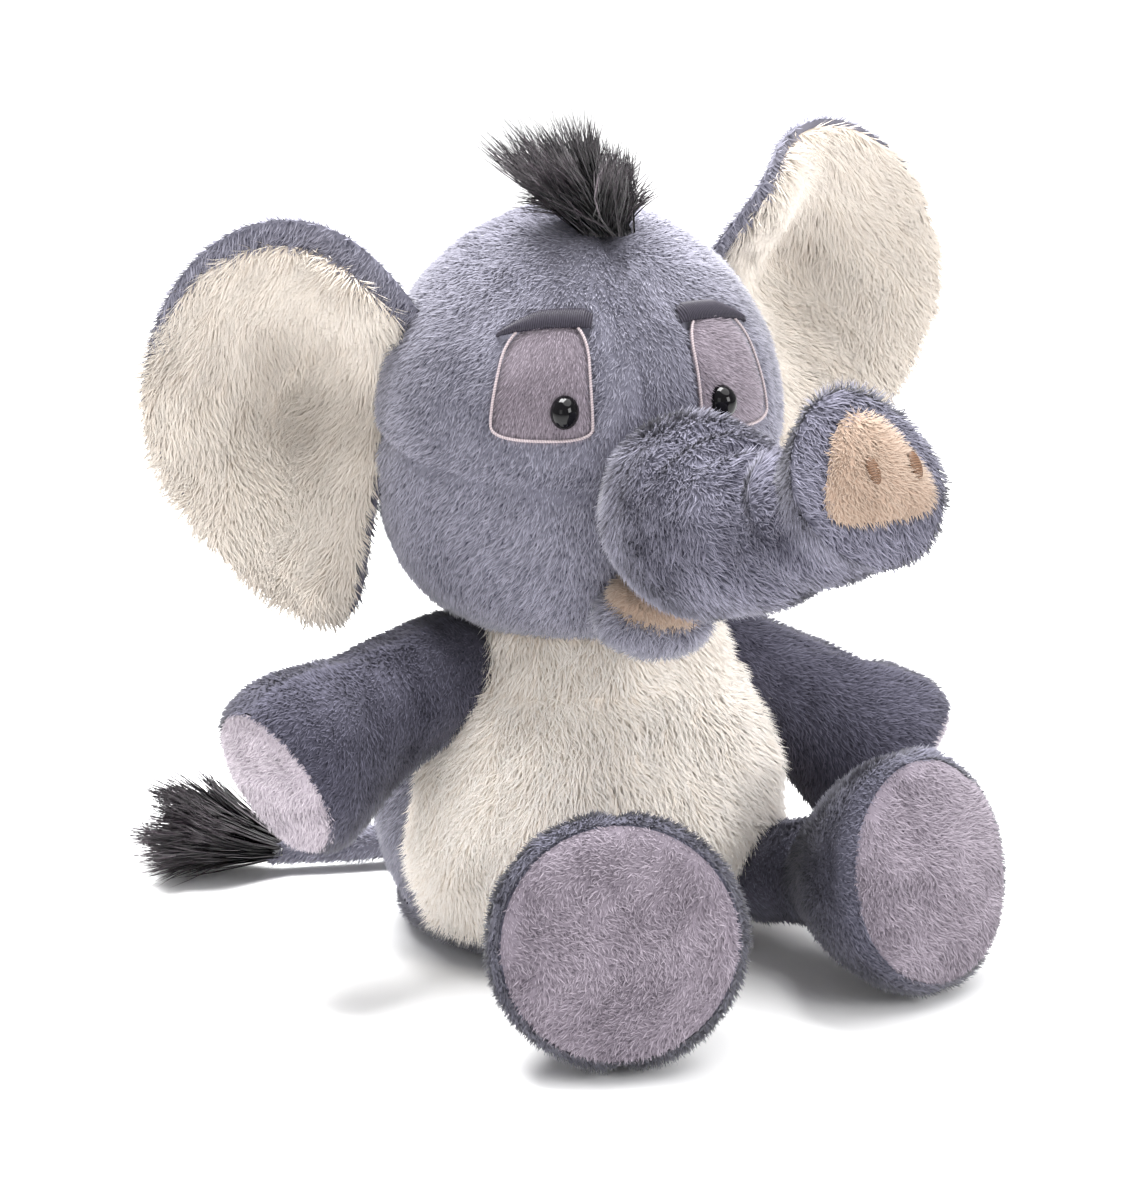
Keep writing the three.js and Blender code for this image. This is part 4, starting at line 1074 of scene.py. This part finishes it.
for side, sign in (("left", 1), ("right", -1)):
    out, across, up = eye_axes(sign)
    # The outline thread leaves out the top, which the lid covers.
    start = np.argmin(np.hypot(*(patch_edge - [-10.6, 16.5]).T))
    ring_edge = np.roll(patch_edge[:-1], -start, 0)
    if ring_edge[10, 1] > ring_edge[0, 1] - 1:
        ring_edge = ring_edge[::-1]
    stop = np.argmin(np.hypot(*(ring_edge - [10.4, 14.5]).T))
    line = ring_edge[:stop + 1] * 1.03
    dense = np.linspace(0, len(line) - 1, 420)
    x, y = (np.interp(dense, np.arange(len(line)), line[:, k]) for k in (0, 1))
    path = on_head(x, y, sign, 0.3 + 0 * x)
    thread_out = np.tile(out, (len(path), 1))
    piece(f"eye_outline_{side}", in_place([cord_tube(path, 0.44, 8.5, thread_out)], HEAD_SHIFT),
          pale_thread, "head")

    # The lid: an arched band of slanted stitches, thickest in its middle.
    u, v = np.meshgrid(np.linspace(0, 1, 330), np.linspace(0, 1, 17))
    lid_x = LID_INNER + LID_WIDE * u
    low, high = lid_edges(u)
    lid_y = low + (high - low) * v
    wave = 0.5 + 0.5 * np.sin(u * LID_WIDE / 0.62 * 6.28 + v * 5)
    arch = 0.1 + 1.4 * np.sqrt(np.clip(4 * v * (1 - v), 0, 1)) * np.minimum(1, 14 * u * (1 - u))
    lid_P = on_head(lid_x, lid_y, sign, arch)
    lid_N = normals_of(lid_P, NECK)
    piece(f"eyelid_{side}", in_place([satin(lid_P, lid_N, wave, 0.16)], HEAD_SHIFT), plum_thread, "head",
          [f"eyelid_{side}"])

    # The bead: half an ellipsoid with a rounded foot.
    middle = bead_seat(sign) + out * 0.3
    lat, lon = np.meshgrid(np.linspace(-0.45, np.pi / 2, 30), np.linspace(0, 2 * np.pi, 49), indexing="ij")
    bead_P = (middle + (4.1 * np.cos(lat) * np.cos(lon))[..., None] * across
              + (4.9 * np.cos(lat) * np.sin(lon))[..., None] * up + (4.3 * np.sin(lat))[..., None] * out)
    bead_P[-1] = bead_P[-1].mean(0)
    bead_P = np.concatenate([np.broadcast_to(bead_P[0].mean(0), bead_P[:1].shape), bead_P])
    bead_N = normals_of(bead_P, middle)
    piece(f"eye_bead_{side}", in_place([skin(bead_P, bead_N, 0)], HEAD_SHIFT), bead, "head",
          [f"eye_bead_{side}"])

    # The nostril: an upright oval of satin stitch on the pad.
    share, around = np.meshgrid(np.linspace(0, 1, 14), np.linspace(0, 2 * np.pi, 65), indexing="ij")
    x = -4.6 - sign * 7.3 + 2.0 * share * np.cos(around)
    y = -0.5 + 3.9 * share * np.sin(around)
    nostril_P = tip_point(x, y, 1.5 + 0.9 * np.sqrt(1 - share**2) - 0.6)
    nostril_N = normals_of(nostril_P, BEHIND_NOSE)
    wave = 0.5 + 0.5 * np.sin(y * 6.28 / 0.7)
    piece(f"nostril_{side}", in_place([satin(nostril_P, nostril_N, wave, 0.12)]), brown_thread, "trunk",
          [f"nostril_{side}"])
print("face", sum(triangles.values()), "triangles so far")

# %% [markdown]
# ## Mouth
# Under the trunk a peach lining shows between the head and a soft lower lip.

# %% Mouth and lip
def ball_grid(centre, radii, rows=40, cols=72):
    lat, lon = np.meshgrid(np.linspace(-np.pi / 2, np.pi / 2, rows), np.linspace(0, 2 * np.pi, cols + 1),
                           indexing="ij")
    P = centre + np.stack([radii[0] * np.cos(lat) * np.cos(lon), radii[1] * np.cos(lat) * np.sin(lon),
                           radii[2] * np.sin(lat)], -1)
    P[0], P[-1] = P[0].mean(0), P[-1].mean(0)
    return P, normals_of(P, np.array(centre, float))


def mouth_keep(P):
    return ~head_hides(P) & ~inside_ball(P, TRUNK_PIVOT, ROOT_RADII - 3)


LIP = (1, -81, 113)
lip_P, lip_N = ball_grid(LIP, (15.4, 17.4, 9.2))
pile = plant(lip_P, lip_N, lambda p: np.array([0, 0, -1.0]) + unit(p - LIP) * [1, 0.4, 0], 70,
             per_mm2=2.0, long=4.2, lean=55, swirl=0.6, loose=0.5,
             keep=lambda p: mouth_keep(p) & ~inside_ball(p, (1, -83, 117.5), (12, 14, 8)))
piece("lower_lip", in_place([skin(lip_P, lip_N, 0), pile], HEAD_SHIFT), grey, "head", ["lower_lip"])
lining_P, lining_N = ball_grid((1, -83.5, 118), (13.2, 16.4, 9.2))
pile = plant(lining_P, lining_N, lambda p: np.tile([0, -0.4, -1.0], (len(p), 1)), 71, per_mm2=2.4, long=2.8,
             wide=0.5, lean=50, keep=mouth_keep)
piece("mouth_lining", in_place([skin(lining_P, lining_N, 0), pile], HEAD_SHIFT), peach, "head",
      ["mouth_lining"])

# %% [markdown]
# ## Ears
# An ear is two pillows sewn round their edge and cupped forward. The back is grey. The front is a
# little smaller, in long cream pile, and its upper inner edge rolls over where the ear is gathered
# into the head, which leaves a deep hollow below the roll.

# %% The ears
EAR_LOW, EAR_HIGH, EAR_SWEEP = np.array([63.7, -11, 150]), np.array([49.1, -11, 205]), np.radians(14)
EAR = {"half_wide": 38, "half_tall": 56.5, "middle": 34.5, "taper": 0.18, "lean": 30, "cup": 16,
       "thick": 5, "gap": 0.7}
EAR_RAISED = {"left": 4, "right": -19.5}
EAR_GATHER = {"left": 11, "right": 6}
RIM_SHOWS = {"left": slice(34, 84), "right": slice(4, 58)}    # columns where the front leaves the rim bare
FRONT_SHIFT = {"left": (2.2, 0.6), "right": (0.8, -4.6)}


def ear_axes(sign):
    low, high = EAR_LOW * [sign, 1, 1], EAR_HIGH * [sign, 1, 1]
    b = unit(high - low)
    a = np.array([sign, 0, 0.0])
    a = unit(a - (a @ b) * b)
    turn = sign * EAR_SWEEP
    a = a * np.cos(turn) + np.cross(b, a) * np.sin(turn)
    return a, b, np.cross(a, b) * sign, (low + high) / 2


def ear_grid(side, share, facing, shift, rows=44, cols=132):
    """Polar: rho from the middle to the rim and back round the edge's thickness, phi round the outline.
    Along A: middle + rho (half width cos(phi) (1 + taper sin(phi)) - lean sin^2 below). Along B: rho half
    height sin(phi). Depth: cup (rho^2 - 1), plus the pillow's half thickness times (1 - rho^2)^(1/2)."""
    sign = 1 if side == "left" else -1
    a, b, n, centre = ear_axes(sign)
    slope = np.linspace(-np.pi / 2, np.pi / 2, rows)[:, None]
    phi = np.linspace(0, 2 * np.pi, cols + 1)[None]
    rho = share * np.cos(slope) + 0 * phi
    swing = np.where(np.sin(phi) < 0, EAR["lean"] * np.sin(phi) ** 2, 0)
    wide = EAR["half_wide"] * np.cos(phi) * (1 + EAR["taper"] * np.sin(phi)) - swing
    A = EAR["middle"] + shift[0] + rho * wide
    B = EAR_RAISED[side] + rho * EAR["half_tall"] * np.sin(phi) + shift[1]
    fat = np.where(slope * facing > 0, np.abs(np.sin(slope)) * EAR["thick"], 0.2) + 0 * phi
    out2 = ((rho * np.cos(phi) + shift[0] / EAR["half_wide"]) ** 2
            + (rho * np.sin(phi) + shift[1] / EAR["half_tall"]) ** 2)
    depth = EAR["cup"] * (out2 - 1) + np.sign(slope) * (EAR["gap"] / 2 + fat)
    roll = hill(np.hypot((A - 15) / 17, (B - EAR_RAISED[side] - 38) / 17), 1)
    hollow = hill(np.hypot((A - 29) / 18, (B - EAR_RAISED[side] - 9) / 24), 1)
    depth = depth + 15 * roll - 18 * hollow
    A = A - EAR_GATHER[side] * hill(np.hypot(A / 14, (B - EAR_RAISED[side] - 30) / 18), 1)
    depth = depth + 1.6 * np.sin(phi * 3 + (1.0 if side == "left" else 0)) * out2**2
    flat = centre + A[..., None] * a + B[..., None] * b
    P = flat + depth[..., None] * n
    P[0], P[-1] = P[0].mean(0), P[-1].mean(0)
    N = normals_of(P, flat + (depth - np.sign(slope) * 2)[..., None] * n)
    return P, P - N * (0.3 * (fat - 0.2))[..., None], N, b, a


for side, sign in (("left", 1), ("right", -1)):
    clear_of_head = lambda p: ~head_hides(p)
    _, S, N, b, a = ear_grid(side, 1.0, -1, (0, 0))
    back_nap = lambda p: np.tile(-b + 0.3 * a, (len(p), 1))
    # On the side that faces forward the grey pile shows only where the cream panel leaves a rim.
    rim, cols = S.shape[0] // 2, RIM_SHOWS[side]
    pile = [plant(S[: rim + 1], N[: rim + 1], back_nap, 80 + sign, per_mm2=1.3, lean=52, keep=clear_of_head),
            plant(S[rim: rim + 9, cols], N[rim: rim + 9, cols], back_nap, 90 + sign, per_mm2=1.6, lean=52,
                  keep=clear_of_head)]
    piece(f"ear_back_{side}", in_place([skin(S, N, 0), *pile]), grey, f"ear_{side}", [f"ear_back_{side}"])
    P, S, N, b, _ = ear_grid(side, 0.94, 1, FRONT_SHIFT[side])
    middle = P.mean((0, 1))
    pile = plant(S[rim:], N[rim:], lambda p: -b + 0.5 * (p - middle) / 45, 84 + sign, per_mm2=3.1, long=7.0,
                 wide=0.54, lean=62, swirl=0.5, loose=0.28, keep=clear_of_head, shaded_root_rise=0.3)
    piece(f"ear_front_{side}", in_place([skin(S, N, 0), pile]), shaded_ear_cream, f"ear_{side}",
          [f"ear_front_{side}"])
print("ears", sum(triangles.values()), "triangles so far")

# %% [markdown]
# ## Long dark pile
# The hair and the tail's tuft are bundles of long, slightly curved strands, gathered into clumps that
# end in points. A strand is a three-sided blade of four steps.

# %% Strands
def strands(roots, ways, lengths, seed, wide=0.9, curve=0.25, clumps=24, gather=0.75, steps=4, droop=0.0):
    """Strand i at share t: root + way t L + bend t^2 L; towards its tip it is pulled to its clump's own
    line, by gather times t. The width falls as (1 - t)."""
    draw = np.random.default_rng(seed)
    count = len(roots)
    chief = draw.integers(0, count, clumps)
    apart = ways[:, None] * 14 + roots[:, None] - ways[None, chief] * 14 - roots[None, chief]
    mine = np.argmin(np.linalg.norm(apart, axis=-1) + draw.normal(0, 0.6, (count, clumps)), 1)
    bend = unit(draw.normal(size=(clumps, 3)))[mine] * curve + draw.normal(0, 0.06, (count, 3))
    t = np.linspace(0, 1, steps + 1)
    along = (lengths[:, None] * t)[..., None]
    arch = bend[:, None] * (lengths[:, None] * t**2)[..., None]
    lead = chief[mine]
    own = roots[:, None] + ways[:, None] * along + arch
    other = roots[lead][:, None] + ways[lead][:, None] * along + arch
    pull = (gather * t**1.5)[None, :, None]
    sag = np.array([0, 0, 1.0]) * (droop * lengths[:, None] * t**2)[..., None]
    P = own * (1 - pull) + other * pull - sag
    ahead = unit(np.gradient(P, axis=1))
    side = unit(np.cross(ahead, unit(draw.normal(size=(count, 1, 3)))))
    up = np.cross(side, ahead)
    w = (wide * (0.7 + 0.6 * draw.random(count)))[:, None, None] * (1 - 0.9 * t)[None, :, None] / 2
    rings = np.stack([P + side * w, P - side * w * 0.5 + up * w * 0.8, P - side * w * 0.5 - up * w * 0.8], 2)
    co = np.concatenate([rings[:, :-1].reshape(count, -1, 3), P[:, -1:]], 1)
    co[..., 2] = np.maximum(co[..., 2], 0.2)
    per = co.shape[1]
    tri = [[2, 1, 0]]
    for k in range(steps - 1):
        for x, y in ((0, 1), (1, 2), (2, 0)):
            tri += [[3 * k + x, 3 * k + y, 3 * k + 3 + x], [3 * k + y, 3 * k + 3 + y, 3 * k + 3 + x]]
    for x, y in ((0, 1), (1, 2), (2, 0)):
        tri.append([3 * (steps - 1) + x, 3 * (steps - 1) + y, per - 1])
    tri = (np.arange(count)[:, None, None] * per + np.array(tri)).reshape(-1, 3)
    around = np.stack([side, -side * 0.5 + up * 0.8, -side * 0.5 - up * 0.8], 2)[:, :-1].reshape(count, -1, 3)
    normal = unit(np.concatenate([around, ahead[:, -1:]], 1))
    # Painted shade: rise runs from 0.1 at a strand's root to 0.9 at its tip, so the colour is dark at the root
    # and pale at the tip.
    rise = np.tile(np.concatenate([np.repeat(t[:-1], 3), [1]]), count) * 0.8 + 0.1
    tone = np.repeat(draw.normal(0, 1, count), per)
    cells = int(np.ceil(np.sqrt(count)))
    u0, v0 = (np.arange(count) % cells) / cells, (np.arange(count) // cells) / cells
    small = np.array([[0.15, 0.1], [0.85, 0.1], [0.5, 0.16]])
    steps_uv = np.concatenate([small + [0, 0.7 * k / steps] for k in range(steps)] + [np.array([[0.5, 0.9]])])
    uv = np.stack([u0, v0], -1)[:, None] + steps_uv / cells
    return part(co.reshape(-1, 3), tri, normal.reshape(-1, 3), rise, tone, uv.reshape(-1, 2))


draw = np.random.default_rng(90)
HAIRS = 2600
spread, fore = draw.normal(0, 0.58, HAIRS), draw.normal(0, 0.32, HAIRS)
hair_root = np.stack([draw.normal(0, 2.6, HAIRS), draw.normal(-42, 3.0, HAIRS), np.full(HAIRS, 218.0)], -1)
hair_way = unit(np.stack([-0.40 + spread, 0.10 + fore, np.full(HAIRS, 1.0)], -1))
hair_long = (23 + 6 * draw.random(HAIRS) + 14 * np.clip(-hair_way[:, 0], 0, 1)
             - 9 * np.clip(hair_way[:, 0], 0, 1))
hair = strands(hair_root, hair_way, hair_long, 91, wide=0.8, clumps=55, gather=0.8, droop=0.05, curve=0.26)
piece("hair_tuft", in_place([hair], HEAD_SHIFT), dark_pile, "head", ["hair_tuft"])

# %% The tail
TAIL_ROUTE = np.array([[-6, 48.5, 13], [-25, 59, 9.5], [-48, 66, 8], [-70, 73, 8.5]])
tail_knots = run(TAIL_ROUTE)
TAIL_LONG = tail_knots[-1]
tail_s = np.concatenate([[-5.4, -5, -3.5, -1.5], np.linspace(0.5, TAIL_LONG, 34),
                         TAIL_LONG + np.array([2, 3.2, 3.6])])
clipped = np.clip(tail_s, 0, TAIL_LONG)
tail_mid = np.stack([easy_line(np.stack([tail_knots, TAIL_ROUTE[:, k]], 1), clipped) for k in range(3)], -1)
tail_ahead = unit(np.gradient(tail_mid, clipped + 1e-3 * np.arange(len(clipped)), axis=0))
tail_mid = tail_mid + tail_ahead * (tail_s - clipped)[:, None]
tail_r = np.interp(tail_s, [-5.4, -5, -3.5, -1.5, 0.5, 20, 45, TAIL_LONG, TAIL_LONG + 2, TAIL_LONG + 3.2,
                            TAIL_LONG + 3.6], [0, 2.6, 5, 6.2, 6.6, 6.6, 6.2, 6, 5, 3, 0])
tail_side = unit(np.cross(tail_ahead, [0, 0, 1.0]))
tail_up = np.cross(tail_side, tail_ahead)
tail_a = np.linspace(0, 2 * np.pi, 61)[None, :, None]
tail_P = tail_mid[:, None] + tail_r[:, None, None] * (np.cos(tail_a) * tail_side[:, None]
                                                      + np.sin(tail_a) * tail_up[:, None])
tail_N = normals_of(tail_P, tail_mid[:, None])
for name, cols, seed in (("tail_skin_top", slice(0, 31), 95), ("tail_skin_under", slice(30, None), 96)):
    M = tail_N[:, cols]
    S, near = sewn(tail_P[:, cols], M, "23", depth=0.8, reach=1.6, inset=1.4)
    S[..., 2] = np.maximum(S[..., 2], 0.2)
    pile = plant(S, M, lambda p: np.tile([-0.9, 0.3, 0], (len(p), 1)), seed, per_mm2=1.7, long=2.8,
                 keep=lambda p: ~inside_torso(p, 2), near=near)
    piece(name, [skin(S, M, 0.8), pile], grey, "tail", [name])

TUFTS = 2000
tuft_line = unit(np.array([-0.90, 0.36, 0.20]))
around, out = draw.random(TUFTS) * 2 * np.pi, np.sqrt(draw.random(TUFTS))
tuft_side = unit(np.cross(tuft_line, [0, 0, 1.0]))
tuft_up = np.cross(tuft_side, tuft_line)
radial = np.cos(around)[:, None] * tuft_side + np.sin(around)[:, None] * tuft_up * 0.8
back = draw.random(TUFTS) * 17
tuft_root = np.array([-66.5, 71.5, 8.8]) + radial * (3.2 + 2 * out)[:, None] + tuft_line * back[:, None]
tuft_way = unit(tuft_line + radial * (0.12 + 0.46 * out)[:, None] + [0, 0, 0.08])
tuft_long = 31 + 9 * draw.random(TUFTS) - back * 0.4
tuft = strands(tuft_root, tuft_way, tuft_long, 97, wide=1.0, clumps=34, curve=0.2, gather=0.7, droop=0.05)
piece("tail_tuft", [tuft], dark_pile, "tail", ["tail_tuft"])

# %% [markdown]
# ## What is inside
# The stuffing of each part is its own piece, a little smaller than the skins, as loose fibre packs. The
# pellet bag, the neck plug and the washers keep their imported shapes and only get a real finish.

# %% Stuffing and hidden fittings
def stuffing(name, P, N, depth, body, move=None):
    S = P - N * depth
    S[..., 2] = np.maximum(S[..., 2], 2.0)
    S[0], S[-1] = S[0].mean(0), S[-1].mean(0)
    shell = [skin(S[::2, ::2], normals_of(S, S.mean((0, 1)))[::2, ::2], 0, 0.5, (0, 1))]
    piece(name, shell if move is None else in_place(shell, move), fibre, body, [name])


for name, (P, N, _, _) in limb_forms.items():
    stuffing(f"{name}_stuffing", P, N, 5.5, name)
head_P = on_ball(*np.meshgrid(np.linspace(0, 2 * np.pi, 97), np.linspace(-np.pi / 2, np.pi / 2, 61)))
stuffing("head_stuffing", head_P, normals_of(head_P, NECK), 6.5, "head", HEAD_SHIFT)
stuffing("trunk_stuffing", trunk_bag, trunk_out, 6.5, "trunk", 0)
body_z, body_a = np.meshgrid(np.linspace(0, TORSO_TOP, 61), np.linspace(0, 2 * np.pi, 97), indexing="ij")
body_P = torso_point(body_z, body_a)
stuffing("body_stuffing", body_P, normals_of(body_P, body_P.mean(1)[:, None]), 6.5, "torso")
stuffing("tail_stuffing", tail_P, tail_N, 3.2, "tail")
for name, finish in (("neck_plug", fibre), ("pellet_bag", bag_cloth), ("eye_washer_left", washer_plastic),
                     ("eye_washer_right", washer_plastic)):
    frame["nodes"][name].data.materials.clear()
    frame["nodes"][name].data.materials.append(finish)
print(sum(triangles.values()), "triangles in all")

# %% [markdown]
# ## Floor and light
# A pale floor, three soft lamps of which the one above and behind is the strongest, and a wide sky
# light, with white all round, so that the plush shows its form by soft shadows and the beads have
# something to reflect.

# %% Floor and light
floor_mesh = bpy.data.meshes.new("floor")
FLOOR_HALF = 12.0    # metres
corners = [(x * FLOOR_HALF, y * FLOOR_HALF, 0) for x, y in ((-1, -1), (1, -1), (1, 1), (-1, 1))]
floor_mesh.from_pydata(corners, [], [(0, 1, 2, 3)])
floor = bpy.data.objects.new("floor", floor_mesh)
bpy.context.scene.collection.objects.link(floor)
floor_finish = Finish("floor paper", Roughness=0.8)
floor_finish.put(floor_finish.surface.inputs["Base Color"],
                 floor_finish.mix(floor_finish.noise(3), (0.90, 0.90, 0.90, 1), (0.93, 0.93, 0.93, 1)))
floor.data.materials.append(floor_finish.material)

world = bpy.data.worlds.new("studio")
bpy.context.scene.world = world
world.use_nodes = True
world.node_tree.nodes["Background"].inputs["Color"].default_value = (1, 1, 1, 1)
world.node_tree.nodes["Background"].inputs["Strength"].default_value = 0.45


def lamp(name, place, size, power):
    made = bpy.data.objects.new(name, bpy.data.lights.new(name, "AREA"))
    made.data.shape, made.data.size, made.data.energy = "SQUARE", size, power
    made.location = place
    made.rotation_euler = (Vector((0, -0.03, 0.1)) - Vector(place)).to_track_quat("-Z", "Y").to_euler()
    bpy.context.scene.collection.objects.link(made)


lamp("key", (0.45, -1.35, 0.75), 0.6, 13)
lamp("top", (-0.15, 0.3, 1.4), 0.8, 58)
lamp("fill", (-1.2, -0.8, 0.6), 0.6, 1.8)
# A wide, soft sky light reaches the whole floor evenly, so that it stays white to the edges.
sky = bpy.data.objects.new("sky", bpy.data.lights.new("sky", "SUN"))
sky.data.energy, sky.data.angle = 3.0, np.radians(60)
sky.rotation_euler = Vector((-0.22, 0.18, -1)).to_track_quat("-Z", "Y").to_euler()
bpy.context.scene.collection.objects.link(sky)
bpy.context.scene.view_settings.view_transform = "Standard"
